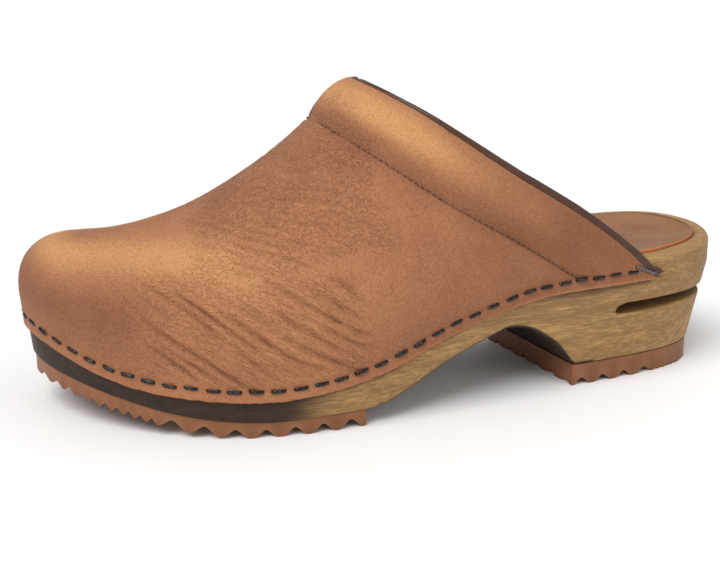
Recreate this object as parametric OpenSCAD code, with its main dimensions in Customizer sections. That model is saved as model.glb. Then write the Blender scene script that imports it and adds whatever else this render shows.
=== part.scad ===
// Wooden clog for the left foot: a beech sole with a sprung heel slot, ribbed rubber
// treads, and an open-backed leather upper stapled round the edge of the wood.
// X runs from the heel to the toe, Y to the outer side of the foot, Z up from the floor.
// The origin is under the middle of the shoe. Inside this file a point's "station" is its
// distance forward of the heel, and the frame is moved to the middle at the very end.

/* [Sole] */
// Length of the wooden sole, heel to toe
sole_length = 257; // [240:1:285]
// Width of the wooden sole across the ball of the foot
ball_width = 97; // [90:1:106]
// Height of the wood's upper edge at the back of the heel
heel_rim_height = 50; // [46:1:56]
// Width of the wood left bare round the footbed
rim_width = 6; // [5:0.5:8]
// How far the footbed's edge lies below the rim's crest
footbed_drop = 1.2; // [0.8:0.1:2]
// Extra hollow along the middle of the footbed
footbed_dish = 4; // [0:0.5:5]
// Thickness of the insole cover
cover_thickness = 1.6; // [1.2:0.1:2.4]
// Depth of the shallow step that takes the leather's lower edge
rebate_depth = 0.8; // [0.4:0.1:1.2]

/* [Heel] */
// Height of the wooden heel's underside above the floor
heel_rubber_height = 8; // [6:0.5:9]
// How far the heel's wall leans in at its bottom
heel_taper = 6; // [3:0.5:7]
// Station of the front of the heel at its outer side
heel_front = 70; // [66:1:74]
// How much further forward the heel's front lies at each millimetre towards the inner side
heel_skew = 0.11; // [0:0.01:0.15]
// Height of the sprung slot's floor
slot_floor = 26.1; // [25.5:0.1:27]
// Height of the sprung slot's opening
slot_height = 4.2; // [2.5:0.1:4.6]
// Station of the slot's closed front end
slot_front = 55; // [48:1:58]

/* [Upper] */
// Thickness of the leather
leather_thickness = 2.2; // [1.8:0.1:2.6]
// How far the leather's face stands out from the wood's side
leather_proud = 1.5; // [1.2:0.1:1.8]
// Height of the instep where the opening's front crosses it
instep_height = 111; // [104:1:118]
// Station where the opening's front crosses the instep
instep_station = 141; // [136:1:146]
// Station of the upper's rear ends
upper_rear = 41; // [38:1:46]
// Station where the collar's seam meets the leather's lower edge
seam_rear = 72; // [70:1:78]
// Station where the collar's seam crosses the instep
seam_front = 158; // [154:1:162]

/* [Collar] */
// How far the padded collar swells outwards
collar_swell = 2.5; // [1:0.1:3.5]
// Thickness of the foam at the middle of the collar
foam_thickness = 5; // [3:0.5:6]
// Thickness of the lining leather
lining_thickness = 1; // [0.8:0.1:1.4]
// Diameter of the piping along the opening's edge
piping_diameter = 3.2; // [2.6:0.1:4]
// Pitch of the collar's stitches along the shoe
stitch_pitch = 1.6; // [1.4:0.1:3]
// Diameter of the thread
thread_diameter = 0.7; // [0.5:0.1:0.9]

/* [Fasteners] */
// Number of staples along each side
side_staples = 24; // [20:1:26]
// Number of staples round the toe
toe_staple_count = 18; // [14:1:20]
// Length of a staple's crown
staple_length = 5.4; // [4.5:0.1:6]
// Width of a staple's wire
staple_wire = 1.2; // [0.9:0.1:1.4]
// Depth that a staple's legs reach into the wood
staple_depth = 7; // [5:0.5:9]
// Diameter of an outsole nail's head
nail_head = 4.5; // [3.5:0.5:5]

/* [Tread] */
// Pitch of the large ribs
rib_pitch = 10; // [8:0.5:12]
// Pitch of the fine ribs
fine_pitch = 4; // [3:0.5:5]
// Depth of the large grooves
groove_depth = 3; // [2:0.5:3.5]
// Depth of the fine grooves
fine_depth = 1.8; // [1:0.2:2.4]

/* [Hidden] */

// The curves below are drawn for a sole of drawn_length by drawn_width and stretched from it.
drawn_length = 257;
drawn_width = 97;
drawn_rim = 50;
drawn_instep = 111;
len_k = sole_length / drawn_length;
wid_k = ball_width / drawn_width;
rim_lift = heel_rim_height - drawn_rim;
gap = 0.05;

// Plan of the sole: control points of a closed cubic B-spline, from the back of the heel
// along the outer side to the toe and back along the inner side.
SOLE_PLAN = [[1, -4], [3, 14], [13, 29], [41, 37.5], [85, 40.5], [130, 44], [170, 49], [203, 44],
    [229, 30], [250, 9], [260, -14], [253, -34], [229, -47], [192, -51], [154, -44],
    [115, -34], [76, -32], [36, -34], [9, -25]];
TOE_CONTROL = 10;
toe_t = TOE_CONTROL / len(SOLE_PLAN);

// Heights and offsets against the station, each a smooth curve through its points
WOOD_TOP = [[0, 50], [30, 48], [60, 46], [90, 43], [120, 37], [150, 29], [180, 25], [210, 25.5],
    [235, 28.5], [258, 33.5]];
LEATHER_EDGE = [[25, 39], [60, 39], [90, 37.5], [120, 30], [150, 19], [180, 14], [210, 15],
    [235, 19.5], [258, 30]];
RIDGE = [[30, 163], [90, 139], [140, 111.5], [150, 104.5], [165, 92], [180, 81.5], [195, 72.5],
    [210, 66], [225, 62.5], [238, 62]];
RIDGE_SIDE = [[30, 0], [130, -3], [180, 1], [225, -6], [238, -6]];
FULLNESS = [[30, 2], [130, 1.95], [180, 1.85], [222, 2], [258, 2.7]];
BULGE = [[30, 0], [100, 0.5], [150, 1.5], [200, 2], [240, 2.6], [258, 1.8]];
TOPLINE_RISE = [[0, 0.03], [0.1, 0.155], [0.3, 0.365], [0.6, 0.63], [0.85, 0.87], [1, 1]];
SEAM_RISE = [[0, 0.05], [0.3, 0.33], [0.6, 0.59], [1, 1]];
// Underside of the wood ahead of the heel: the arch behind the breast, the waist, the forefoot
UNDERSIDE = [[70, 8], [73, 11.8], [77.5, 16.8], [83, 21], [89, 24.6], [94.5, 26.3], [100, 26.6],
    [104, 25.2], [116, 20.8], [126.5, 16.4], [136, 11.3], [146, 7], [154, 6], [165, 5.8],
    [190, 5.4], [215, 8], [235, 12.6], [258, 19]];
WALL_LEAN = [[70, 1], [80, 0.7], [100, 0.5], [140, 0.35], [160, 0.2], [260, 0.2]];
// Lowest line of the forefoot tread
TREAD_LINE = [[140, 0.8], [154, 0.4], [165, 0.2], [178, 0], [195, 0], [215, 2.6], [235, 7], [258, 13]];

first_spine = 30;
last_spine = 238;
steep = 88;
slot_steps = 12;
side_steps = 60;
ring_size = 2 * side_steps;
blunt = 5;

// ---- curves ----
function cube3(f) = f * f * f;
function bspline(c, t) = let (n = len(c), x = (t - floor(t)) * n, i = floor(x), f = x - i)
    (cube3(1 - f) * c[(i + n - 1) % n] + (3 * cube3(f) - 6 * f * f + 4) * c[i % n]
    + (-3 * cube3(f) + 3 * f * f + 3 * f + 1) * c[(i + 1) % n] + cube3(f) * c[(i + 2) % n]) / 6;
function knot(tab, x, i = 0) =
    i >= len(tab) - 2 || x < tab[i + 1][0] ? i : knot(tab, x, i + 1);
function slope(tab, i) = let (a = max(i - 1, 0), b = min(i + 1, len(tab) - 1))
    (tab[b][1] - tab[a][1]) / (tab[b][0] - tab[a][0]);
function through(tab, x0) = let (x = min(max(x0, tab[0][0]), tab[len(tab) - 1][0]),
    i = knot(tab, x), h = tab[i + 1][0] - tab[i][0], f = (x - tab[i][0]) / h)
    (2 * cube3(f) - 3 * f * f + 1) * tab[i][1] + (cube3(f) - 2 * f * f + f) * h * slope(tab, i)
    + (3 * f * f - 2 * cube3(f)) * tab[i + 1][1] + (cube3(f) - f * f) * h * slope(tab, i + 1);
function at(tab, s) = through(tab, s / len_k);
function mix(a, b, f) = a + (b - a) * f;
function ease(f) = let (g = min(max(f, 0), 1)) g * g * (3 - 2 * g);

// ---- plan of the sole ----
function plan(t) = let (p = bspline(SOLE_PLAN, t)) [p[0] * len_k, p[1] * wid_k];
function tangent(t) = let (d = plan(t + 0.0002) - plan(t - 0.0002)) d / norm(d);
function outward(t) = let (d = tangent(t)) [-d[1], d[0]];
// Place on the plan with a given station, by halving; side is 1 for the outer side, -1 for the inner
function t_at(s, side, lo = 0, hi = 1, n = 22) = let (m = (lo + hi) / 2,
    t = side > 0 ? m * toe_t : 1 - m * (1 - toe_t))
    n == 0 ? t : plan(t)[0] < s ? t_at(s, side, m, hi, n - 1) : t_at(s, side, lo, m, n - 1);

// Places spread evenly along the plan's edge: equal arcs between two places on it
arc_steps = 60;
function arc_table(from, to) = [for (i = 0, l = 0; i <= arc_steps;
    l = l + norm(plan(mix(from, to, (i + 1) / arc_steps)) - plan(mix(from, to, i / arc_steps))), i = i + 1)
    [l, mix(from, to, i / arc_steps)]];
function even_t(table, f) = lookup(table[arc_steps][0] * f, table);

// ---- heights ----
function wood_top(s) = at(WOOD_TOP, s) + rim_lift;
function leather_edge(s) = at(LEATHER_EDGE, s) + rim_lift;
function ridge(s) = at(RIDGE, s) + instep_height - drawn_instep;
function dome_base(s) = wood_top(s) - 1;
// The heel's front slants across the shoe about this place on the outer side
skew_side = 34;
function underside(x, y) = let (u = x - heel_skew * (skew_side - y))
    x < heel_front + 30 && u < heel_front ? heel_rubber_height :
    max(at(UNDERSIDE, u * ease((110 - x) / 20) + x * (1 - ease((110 - x) / 20))),
        x < heel_front + 6 ? heel_rubber_height : 0);
function wall_lean(s) = heel_taper * at(WALL_LEAN, s);
function rebate(s) = rebate_depth * ease((s - upper_rear + 6) / 5);
// Edge of the opening; "back" sets it back from the edge, forwards and down
function crossing(back) = instep_station + back * 1.5;
function topline_z(s, back = 0) = let (w = (s - upper_rear) / (crossing(back) - upper_rear),
    lo = leather_edge(upper_rear) - back, hi = ridge(crossing(back)))
    lo + (hi - lo) * through(TOPLINE_RISE, w) + max(w - 1, 0) * (hi - lo) * 0.87;
function seam_z(s) = let (w = (s - seam_rear) / (seam_front - seam_rear),
    lo = leather_edge(seam_rear), hi = ridge(seam_front))
    lo + (hi - lo) * through(SEAM_RISE, w) + min(w, 0) * (hi - lo) * 0.93;
// 0 on the collar's seam, 1 on the opening's edge
function collar_place(s, z) = let (a = seam_z(s), b = topline_z(s)) (z - a) / max(b - a, 1);
// The band that takes the staples stays flat; the swelling begins above it.
function swell(s, z) = let (w = min(max(collar_place(s, z), 0), 1))
    ease((z - leather_edge(s) - 6) / 14) * collar_swell * mix(0.3, 1, ease((s - seam_rear) / 55))
        * pow(sin(180 * w), 0.75);

// ---- the upper's face ----
// A meridian climbs from the wood's edge to the ridge as a quarter of a superellipse. t is the
// place on the plan, phi the climb in degrees, depth the distance under the leather's face.
function upper_point(t, phi, depth) = let (p = plan(t), out = outward(t), s = p[0],
    sc = min(max(s, first_spine * len_k), last_spine * len_k),
    spine = [sc, at(RIDGE_SIDE, sc) * wid_k], n = at(FULLNESS, s),
    lift = pow(sin(phi), 2 / n), z0 = dome_base(s), top = ridge(sc),
    steepness = norm([1, ridge(sc + 0.5) - ridge(sc - 0.5)]),
    d = depth - swell(s, z0 + (top - z0) * lift),
    q = p + out * (leather_proud - d),
    xy = spine + (q - spine) * pow(cos(phi), 2 / n)
        + out * at(BULGE, s) * 3 * sin(phi) * pow(cos(phi), 3))
    [xy[0], xy[1], z0 + (top - d * steepness - z0) * lift];
function climb_to(t, z) = let (s = plan(t)[0], sc = min(max(s, first_spine * len_k), last_spine * len_k),
    z0 = dome_base(s), f = min(max((z - z0) / (ridge(sc) - z0), 0), 1))
    min(asin(pow(f, at(FULLNESS, s) / 2)), steep);
// The flange below the dome lies flat on the wood's side.
climb_length = 0.9;
function face_point(t, l, depth, flat) = let (s = plan(t)[0], z = leather_edge(s) + l)
    l <= flat ? (let (q = plan(t) + outward(t) * (leather_proud - depth + swell(s, z))) [q[0], q[1], z])
    : upper_point(t, (l - flat) / climb_length, depth);
function column(t, top_z, depth, rows) = let (s = plan(t)[0],
    flat = min(dome_base(s), top_z) - leather_edge(s), whole = flat + climb_to(t, top_z) * climb_length)
    [for (j = [0:rows]) face_point(t, whole * j / rows, depth, flat)];

// ---- solids from rings and sheets ----
function quad(a, b, c, d) = [[a, b, c], [a, c, d]];
function ring_faces(a, b, n) = [for (k = [0:n - 1])
    each quad(a + k, b + k, b + (k + 1) % n, a + (k + 1) % n)];
// Closes a ring whose place k faces place n - k
function strip_faces(a, n) = [for (k = [0:n / 2 - 1]) each
    k == 0 ? [[a, a + 1, a + n - 1]] :
    k == n / 2 - 1 ? [[a + k, a + k + 1, a + n - k]] :
    quad(a + k, a + k + 1, a + n - k - 1, a + n - k)];
function flip(faces) = [for (f = faces) [for (i = [len(f) - 1:-1:0]) f[i]]];
function joined(lists) = [for (l = lists) each l];

// ---- rings of the sole ----
slot_t = [t_at(slot_front, 1), t_at(slot_front, -1)];
function ring_t(k) = k <= slot_steps ? slot_t[0] * k / slot_steps
    : k <= side_steps ? mix(slot_t[0], toe_t, (k - slot_steps) / (side_steps - slot_steps))
    : k <= ring_size - slot_steps ? mix(toe_t, slot_t[1], (k - side_steps) / (side_steps - slot_steps))
    : mix(slot_t[1], 1, (k - ring_size + slot_steps) / slot_steps);
RING_T = [for (k = [0:ring_size - 1]) ring_t(k)];
RING_P = [for (t = RING_T) plan(t)];
RING_N = [for (t = RING_T) outward(t)];
function spine_of(k) = let (m = k > side_steps ? ring_size - k : k,
    c = min(max(m, blunt), side_steps - blunt))
    (RING_P[c] + RING_P[ring_size - c]) / 2;
RING_S = [for (k = [0:ring_size - 1]) spine_of(k)];
// Plan of a ring set in by a distance, then drawn towards the spine by a share
function ring_xy(k, inset, share = 0) = let (p = RING_P[k] - RING_N[k] * inset) mix(p, RING_S[k], share);
function lift_ring(xy, z) = [xy[0], xy[1], z];

function top_ring(inset, drop, share = 0) = [for (k = [0:ring_size - 1]) let (s = RING_P[k][0],
    xy = ring_xy(k, inset + rebate(s), share)) lift_ring(xy, wood_top(xy[0]) - drop)];
function wall_z(k, z_heel, share) = let (s = RING_P[k][0], b = edge_z(k))
    mix(z_heel, mix(b, leather_edge(s), share), ease((s - slot_front - 6) / 30));
function edge_z(k) = let (xy = ring_xy(k, wall_lean(RING_P[k][0]))) underside(xy[0], xy[1]);
function wall_ring(z_heel, share) = [for (k = [0:ring_size - 1]) let (s = RING_P[k][0],
    z = wall_z(k, z_heel, share), top = leather_edge(s),
    xy = ring_xy(k, wall_lean(s) * (top - z) / (top - edge_z(k)))) lift_ring(xy, z)];
function rebate_ring(share, drop) = [for (k = [0:ring_size - 1]) let (s = RING_P[k][0])
    lift_ring(ring_xy(k, rebate(s) * share), leather_edge(s) - drop)];
function bottom_ring(share) = [for (k = [0:ring_size - 1]) let (
    xy = ring_xy(k, wall_lean(RING_P[k][0]), share)) lift_ring(xy, underside(xy[0], xy[1]))];

SHARES = [0.12, 0.3, 0.6, 0.85];
rim_drop = 3;
function footbed_z(share) = footbed_drop + footbed_dish * sin(90 * share);

module to_frame() translate([-middle[0], -middle[1], 0]) children();

module wooden_sole() {
    slot_roof = slot_floor + slot_height;
    rings = [
        for (i = [len(SHARES) - 1:-1:0]) top_ring(rim_width, footbed_z(SHARES[i]), SHARES[i]),
        top_ring(rim_width, footbed_drop),
        top_ring(rim_width - 1.5, footbed_drop * 0.35),
        top_ring(rim_width / 2, 0),
        top_ring(1.2, 0.5),
        top_ring(0.3, 1.5),
        top_ring(0, rim_drop),
        rebate_ring(1, 0),
        rebate_ring(0, 0.3),
        wall_ring(slot_roof, 0.66),
        wall_ring(slot_floor, 0.33),
        bottom_ring(0),
        for (f = SHARES) bottom_ring(f)];
    count = len(rings);
    roof = count - len(SHARES) - 3;
    n = ring_size;
    a = roof * n;
    b = a + n;
    heel_run = [for (k = [n - slot_steps:n - 1]) k, for (k = [0:slot_steps]) k];
    faces = joined([
        strip_faces(0, n),
        for (r = [0:count - 2]) if (r != roof) ring_faces(r * n, (r + 1) * n, n),
        [for (k = [slot_steps:n - slot_steps - 1]) each quad(a + k, b + k, b + k + 1, a + k + 1)],
        [[for (i = [len(heel_run) - 1:-1:0]) a + heel_run[i]]],
        [[for (k = heel_run) b + k]],
        quad(a + n - slot_steps, b + n - slot_steps, b + slot_steps, a + slot_steps),
        flip(strip_faces((count - 1) * n, n))]);
    color("tan") to_frame() polyhedron(joined(rings), faces);
}

module insole_cover() {
    edge = rim_width;
    face = gap + cover_thickness;
    rings = [
        for (i = [len(SHARES) - 1:-1:0]) top_ring(edge, footbed_z(SHARES[i]) - face, SHARES[i]),
        top_ring(edge + 0.5, footbed_drop - face),
        top_ring(edge, footbed_drop - face + 0.5),
        top_ring(edge, footbed_drop - gap),
        for (f = SHARES) top_ring(edge, footbed_z(f) - gap, f)];
    n = ring_size;
    faces = joined([
        strip_faces(0, n),
        for (r = [0:len(rings) - 2]) ring_faces(r * n, (r + 1) * n, n),
        flip(strip_faces((len(rings) - 1) * n, n))]);
    color("saddlebrown") to_frame() polyhedron(joined(rings), faces);
}

// ---- rubber ----
// Side view of a ribbed tread: flat-tipped saw teeth hang from a smooth back
function teeth(from, to, pitch, depth) = let (n = round((to - from) / pitch), p = (to - from) / n)
    [for (i = [0:n - 1]) each [[from + i * p, 0], [from + (i + 0.35) * p, 0], [from + (i + 0.62) * p, depth],
        [from + (i + 0.98) * p, 0.02]]];

module tread_plan(inset) polygon([for (k = [0:ring_size - 1]) ring_xy(k, inset)]);

module across(profile) rotate([90, 0, 0]) translate([0, 0, -100]) linear_extrude(200) polygon(profile);

module forefoot_outsole() {
    rear = 154 * len_k;
    change = 222 * len_k;
    front = 262 * len_k;
    saw = concat(teeth(rear, change, rib_pitch, groove_depth), teeth(change, front, fine_pitch, fine_depth));
    back = [for (i = [0:24]) mix(front, rear - 2, i / 24)];
    profile = concat([for (p = saw) [p[0], p[1] + at(TREAD_LINE, p[0])]],
        [for (x = back) [x, at(UNDERSIDE, x) - gap]]);
    color("sienna") to_frame() intersection() {
        across(profile);
        linear_extrude(40) tread_plan(2);
    }
}

module heel_outsole() {
    back = 0;
    change = 36;
    front = heel_front - 6;
    saw = concat(teeth(back, change, fine_pitch + 1, fine_depth),
        teeth(change, front, rib_pitch - 3, groove_depth));
    profile = concat(saw,
        [[front + 1, 0], [heel_front + 14, heel_rubber_height - gap], [back, heel_rubber_height - gap]]);
    far = 60;
    front_x = function (y) heel_front + heel_skew * (skew_side - y);
    front_line = [[-10, -far], [front_x(-far), -far], [front_x(far), far], [-10, far]];
    color("sienna") to_frame() intersection() {
        across(profile);
        linear_extrude(heel_rubber_height) intersection() {
            tread_plan(heel_taper + 0.3);
            polygon(front_line);
        }
    }
}

// ---- leather ----
rear_columns = 20;
toe_columns = 15;
half = rear_columns + toe_columns;
rows = 20;
edge_clear = piping_diameter / 2 - 0.4;
function rear_station(i, from, back = 0) = let (u = 1 - i / rear_columns, front = crossing(back))
    front - (front - from) * u * u;
function upper_t(i) = let (m = i > half ? 2 * half - i : i, side = i > half ? -1 : 1)
    m <= rear_columns ? t_at(rear_station(m, upper_rear, edge_clear), side)
    : mix(t_at(crossing(edge_clear), side), toe_t, (m - rear_columns) / toe_columns);

// Thick sheet over a run of columns. Each column of the outer run faces one of the inner run
// across the ridge from column "open" on; "closed" says that the two runs meet at the toe.
module thick_sheet(face, back, columns, rows, open, closed) {
    r1 = rows + 1;
    total = len(face);
    o = total * r1;
    mid = closed ? (total - 1) / 2 : total / 2 - 1;
    mate = function (i) total - 1 - i;
    runs = closed ? [for (i = [0:total - 2]) i] : [for (i = [0:mid - 1]) i, for (i = [mid + 1:total - 2]) i];
    skin = joined([
        [for (i = runs, j = [0:rows - 1])
            each quad(i * r1 + j, i * r1 + j + 1, (i + 1) * r1 + j + 1, (i + 1) * r1 + j)],
        [for (i = [open:mid - 1]) each mate(i + 1) == i + 1
            ? [[i * r1 + rows, mate(i) * r1 + rows, (i + 1) * r1 + rows]]
            : quad(i * r1 + rows, mate(i) * r1 + rows, mate(i + 1) * r1 + rows, (i + 1) * r1 + rows)]]);
    under = [for (f = skin) [f[0] + o, f[2] + o, f[1] + o]];
    foot = function (i) i * r1;
    crown = function (i) i * r1 + rows;
    loop = concat(
        [for (j = [0:rows]) j],
        [for (i = [1:open]) crown(i)],
        [for (i = [mate(open):total - 1]) crown(i)],
        [for (j = [rows - 1:-1:0]) (total - 1) * r1 + j],
        [for (i = [total - 2:-1:(closed ? 1 : mid + 1)]) foot(i)],
        closed ? [] : concat([for (j = [1:rows]) (mid + 1) * r1 + j], [for (j = [rows:-1:0]) mid * r1 + j],
            [for (i = [mid - 1:-1:1]) foot(i)]));
    m = len(loop);
    edge = [for (k = [0:m - 1]) each quad(loop[k], loop[k] + o, loop[(k + 1) % m] + o, loop[(k + 1) % m])];
    polyhedron(concat(joined(face), joined(back)), flip(concat(skin, under, edge)));
}

module upper() {
    ts = [for (i = [0:2 * half]) upper_t(i)];
    tops = [for (t = ts) topline_z(plan(t)[0], edge_clear)];
    face = [for (i = [0:len(ts) - 1]) column(ts[i], tops[i], 0, rows)];
    back = [for (i = [0:len(ts) - 1]) column(ts[i], tops[i], leather_thickness, rows)];
    color("peru") to_frame() thick_sheet(face, back, len(ts), rows, rear_columns, true);
}

// ---- collar ----
collar_front_columns = 4;
collar_half = rear_columns + collar_front_columns;
collar_rows = 8;
function collar_t(i, from, to, back) = let (m = i > collar_half ? 2 * collar_half + 1 - i : i,
    side = i > collar_half ? -1 : 1, ahead = (m - rear_columns) / collar_front_columns)
    t_at(m <= rear_columns ? rear_station(m, from, back) : mix(crossing(back), to, ahead), side);
function foam_at(w) = 0.3 + foam_thickness * pow(sin(180 * min(max(w, 0), 1)), 0.75);
// Column of a collar layer from the seam to the opening; layer 0 is the leather's back,
// layer 1 the foam's back and layer 2 the lining's back.
function collar_column(t, layer, low, high) = let (s = plan(t)[0],
    a = max(climb_to(t, seam_z(s) + low), 1), b = climb_to(t, topline_z(s, high)))
    [for (j = [0:collar_rows]) let (phi = mix(a, max(b, a + 1), j / collar_rows), w = j / collar_rows)
        upper_point(t, phi, leather_thickness + gap + (layer == 0 ? 0 : foam_at(w))
            + (layer == 2 ? gap + lining_thickness : layer == 1.5 ? gap : 0))];

module collar_layer(from, to, low, high, front_layer, back_layer) {
    ts = [for (i = [0:2 * collar_half + 1]) collar_t(i, from, to, high)];
    face = [for (t = ts) collar_column(t, front_layer, low, high)];
    back = [for (t = ts) collar_column(t, back_layer, low, high)];
    thick_sheet(face, back, len(ts), collar_rows, rear_columns, false);
}

module collar_padding() color("khaki") to_frame()
    collar_layer(seam_rear + 6, seam_front - 4, 1, edge_clear + 1, 0, 1);

module collar_lining() color("sienna") to_frame()
    collar_layer(seam_rear + 6, seam_front - 4, 1, edge_clear + 1, 1.5, 2);

// ---- piping ----
function topline_point(t, depth) = let (s = plan(t)[0], z = topline_z(s))
    z < dome_base(s) ? (let (q = plan(t) + outward(t) * (leather_proud - depth)) [q[0], q[1], z])
    : upper_point(t, climb_to(t, z), depth);
function unit(v) = v / norm(v);

module topline_piping() {
    sides = 10;
    count = 2 * rear_columns + 1;
    r = piping_diameter / 2;
    depth = 1.2;
    crest = function (side) topline_point(t_at(instep_station, side), depth);
    path = [for (i = [0:count - 1])
        let (m = i > rear_columns ? 2 * rear_columns - i : i, side = i > rear_columns ? -1 : 1)
        i == rear_columns ? (crest(1) + crest(-1)) / 2
        : topline_point(t_at(rear_station(m, upper_rear - 1), side), depth)];
    way = [for (i = [0:count - 1]) unit(path[min(i + 1, count - 1)] - path[max(i - 1, 0)])];
    points = [for (i = [0:count - 1]) let (u = unit(cross(way[i], [0.3, 0, 1])), v = cross(u, way[i]))
        for (k = [0:sides - 1]) path[i] + r * (cos(360 * k / sides) * u + sin(360 * k / sides) * v)];
    faces = concat([for (i = [0:count - 2]) each ring_faces(i * sides, (i + 1) * sides, sides)],
        [[for (k = [0:sides - 1]) k]], [[for (k = [sides - 1:-1:0]) (count - 1) * sides + k]]);
    color("maroon") to_frame() polyhedron(points, faces);
}

// ---- fasteners ----
// Puts children, drawn along X with their outside facing Z, on a point with the given directions
module stand_on(p, x_dir, z_dir) {
    y = unit(cross(z_dir, x_dir));
    x = cross(y, z_dir);
    multmatrix([for (i = [0:2]) [x[i], y[i], z_dir[i], p[i]]]) children();
}

module staple() {
    half_wire = staple_wire / 2;
    translate([-staple_length / 2, -half_wire, -0.3]) cube([staple_length, staple_wire, 0.8]);
    leg = (staple_length - staple_wire) / 2;
    for (e = [-1, 1]) translate([e * leg - half_wire, -half_wire, -staple_depth])
        cube([staple_wire, staple_wire, staple_depth]);
}

staple_rise = 3.6;
first_staple = upper_rear + 10;
last_staple = 212 * len_k;
module staple_at(t, rise_by = staple_rise, turn = 0) {
    s = plan(t)[0];
    out = outward(t);
    d = tangent(t);
    tilt = (leather_edge(s + 1) - leather_edge(s - 1)) / 2 * d[0];
    q = plan(t) + out * leather_proud;
    stand_on([q[0], q[1], leather_edge(s) + rise_by], unit([d[0], d[1], tilt + turn]), [out[0], out[1], 0])
        staple();
}

module side_row(side) {
    edge = arc_table(t_at(first_staple, side), t_at(last_staple, side));
    color("dimgray") to_frame() for (k = [0:side_staples - 1])
        staple_at(even_t(edge, k / (side_staples - 1)));
}
module outer_staples() side_row(1);
module inner_staples() side_row(-1);
module toe_staples() {
    edge = arc_table(t_at(last_staple, 1), t_at(last_staple, -1));
    color("dimgray") to_frame() for (k = [1:toe_staple_count])
        staple_at(even_t(edge, k / (toe_staple_count + 1)));
}
module piping_end_staples() color("dimgray") to_frame() for (side = [-1, 1], k = [0:1])
    staple_at(t_at(upper_rear + 2 + 4.5 * k, side), 2.6 + 2.2 * k, side * 0.35);

module seam_stitching() {
    n = round((seam_front - 2 - seam_rear) / stitch_pitch);
    color("maroon") to_frame() for (side = [-1, 1], k = [0:n - 1]) {
        s = mix(seam_rear, seam_front - 2, k / (n - 1));
        t = t_at(s, side);
        ahead = t_at(s + 1, side);
        phi = climb_to(t, seam_z(s));
        p = upper_point(t, phi, 0);
        x = unit(upper_point(ahead, climb_to(ahead, seam_z(s + 1)), 0) - p);
        climb = upper_point(t, min(phi + 1, steep), 0) - upper_point(t, min(phi, steep - 1), 0);
        z = unit(cross(x, climb) * side);
        stand_on(p, x, z) rotate([0, 90, 0])
            cylinder(h = stitch_pitch * 0.75, d = thread_diameter, center = true, $fn = 24);
    }
}

// Countersunk nail, its head up, drawn from the head's face downwards along Z
module nail(length) {
    rotate([180, 0, 0]) cylinder(h = 1, d1 = nail_head, d2 = 2, $fn = 32);
    translate([0, 0, -length]) cylinder(h = length - 0.5, d = 2, $fn = 32);
}

module nail_ring(places, z_of, length) for (p = places)
    translate([p[0] * len_k, p[1] * wid_k, z_of(p[0])]) rotate([180, 0, 0]) nail(length);

module forefoot_nails() color("silver") to_frame()
    nail_ring([[163, 30], [163, -30], [185, 34], [185, -36], [208, 28], [208, -34], [232, 8], [232, -30]],
        function (s) at(TREAD_LINE, s * len_k) + groove_depth - 0.4, 12);

module heel_nails() color("silver") to_frame()
    nail_ring([[18, 14], [18, -14], [40, 22], [40, -18], [58, 22], [58, -18]],
        function (s) groove_depth - 0.4, 14);

// ---- frame ----
EXTENT = [for (t = RING_T) let (q = plan(t) + outward(t) * leather_proud) q];
toe_swell = 1.6;
middle = [(min([for (p = RING_P) p[0]]) + max([for (p = EXTENT) p[0]]) + toe_swell) / 2,
    (min([for (p = EXTENT) p[1]]) + max([for (p = EXTENT) p[1]])) / 2];

wooden_sole();
insole_cover();
forefoot_outsole();
heel_outsole();
upper();
collar_padding();
collar_lining();
topline_piping();
seam_stitching();
outer_staples();
inner_staples();
toe_staples();
piping_end_staples();
forefoot_nails();
heel_nails();
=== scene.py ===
"""Looks of a wooden clog for the left foot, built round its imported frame.

Lengths in this file are millimetres and become metres where a mesh is made. A point's
"station" is its distance forward of the heel. The plan of the sole is a closed curve with
a parameter t, and a meridian climbs from a place on it over the foot to the ridge.
"""
from __future__ import annotations

import logging
import math
from dataclasses import dataclass, field
from enum import Enum
from typing import Callable, Iterable, Optional, Sequence

import bmesh
import bpy
import numpy as np
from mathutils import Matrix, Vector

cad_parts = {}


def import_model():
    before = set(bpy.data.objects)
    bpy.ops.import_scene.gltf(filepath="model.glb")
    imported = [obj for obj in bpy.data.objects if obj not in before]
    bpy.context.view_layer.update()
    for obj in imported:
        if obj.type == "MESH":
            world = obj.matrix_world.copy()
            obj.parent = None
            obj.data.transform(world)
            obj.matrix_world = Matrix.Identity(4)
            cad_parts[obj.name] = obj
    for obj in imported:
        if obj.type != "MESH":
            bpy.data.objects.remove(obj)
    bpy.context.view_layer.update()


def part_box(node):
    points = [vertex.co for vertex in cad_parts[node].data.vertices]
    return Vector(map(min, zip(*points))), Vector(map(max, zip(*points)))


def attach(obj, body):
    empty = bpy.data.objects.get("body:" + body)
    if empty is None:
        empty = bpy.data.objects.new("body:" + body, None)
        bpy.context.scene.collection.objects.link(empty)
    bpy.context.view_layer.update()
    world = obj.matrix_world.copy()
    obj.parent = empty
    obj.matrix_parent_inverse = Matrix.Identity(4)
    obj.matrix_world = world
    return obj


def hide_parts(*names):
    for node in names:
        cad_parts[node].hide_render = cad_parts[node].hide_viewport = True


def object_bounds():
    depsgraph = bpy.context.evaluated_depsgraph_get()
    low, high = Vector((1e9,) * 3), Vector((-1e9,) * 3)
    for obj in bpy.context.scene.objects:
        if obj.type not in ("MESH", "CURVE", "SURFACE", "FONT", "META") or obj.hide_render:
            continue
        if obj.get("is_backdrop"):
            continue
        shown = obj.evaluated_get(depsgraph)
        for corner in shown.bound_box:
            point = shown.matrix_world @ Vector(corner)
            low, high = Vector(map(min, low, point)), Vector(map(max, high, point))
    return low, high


LOG = logging.getLogger("clog")
MM = 0.001
Array = np.ndarray
Colour = tuple[float, float, float]


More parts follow.
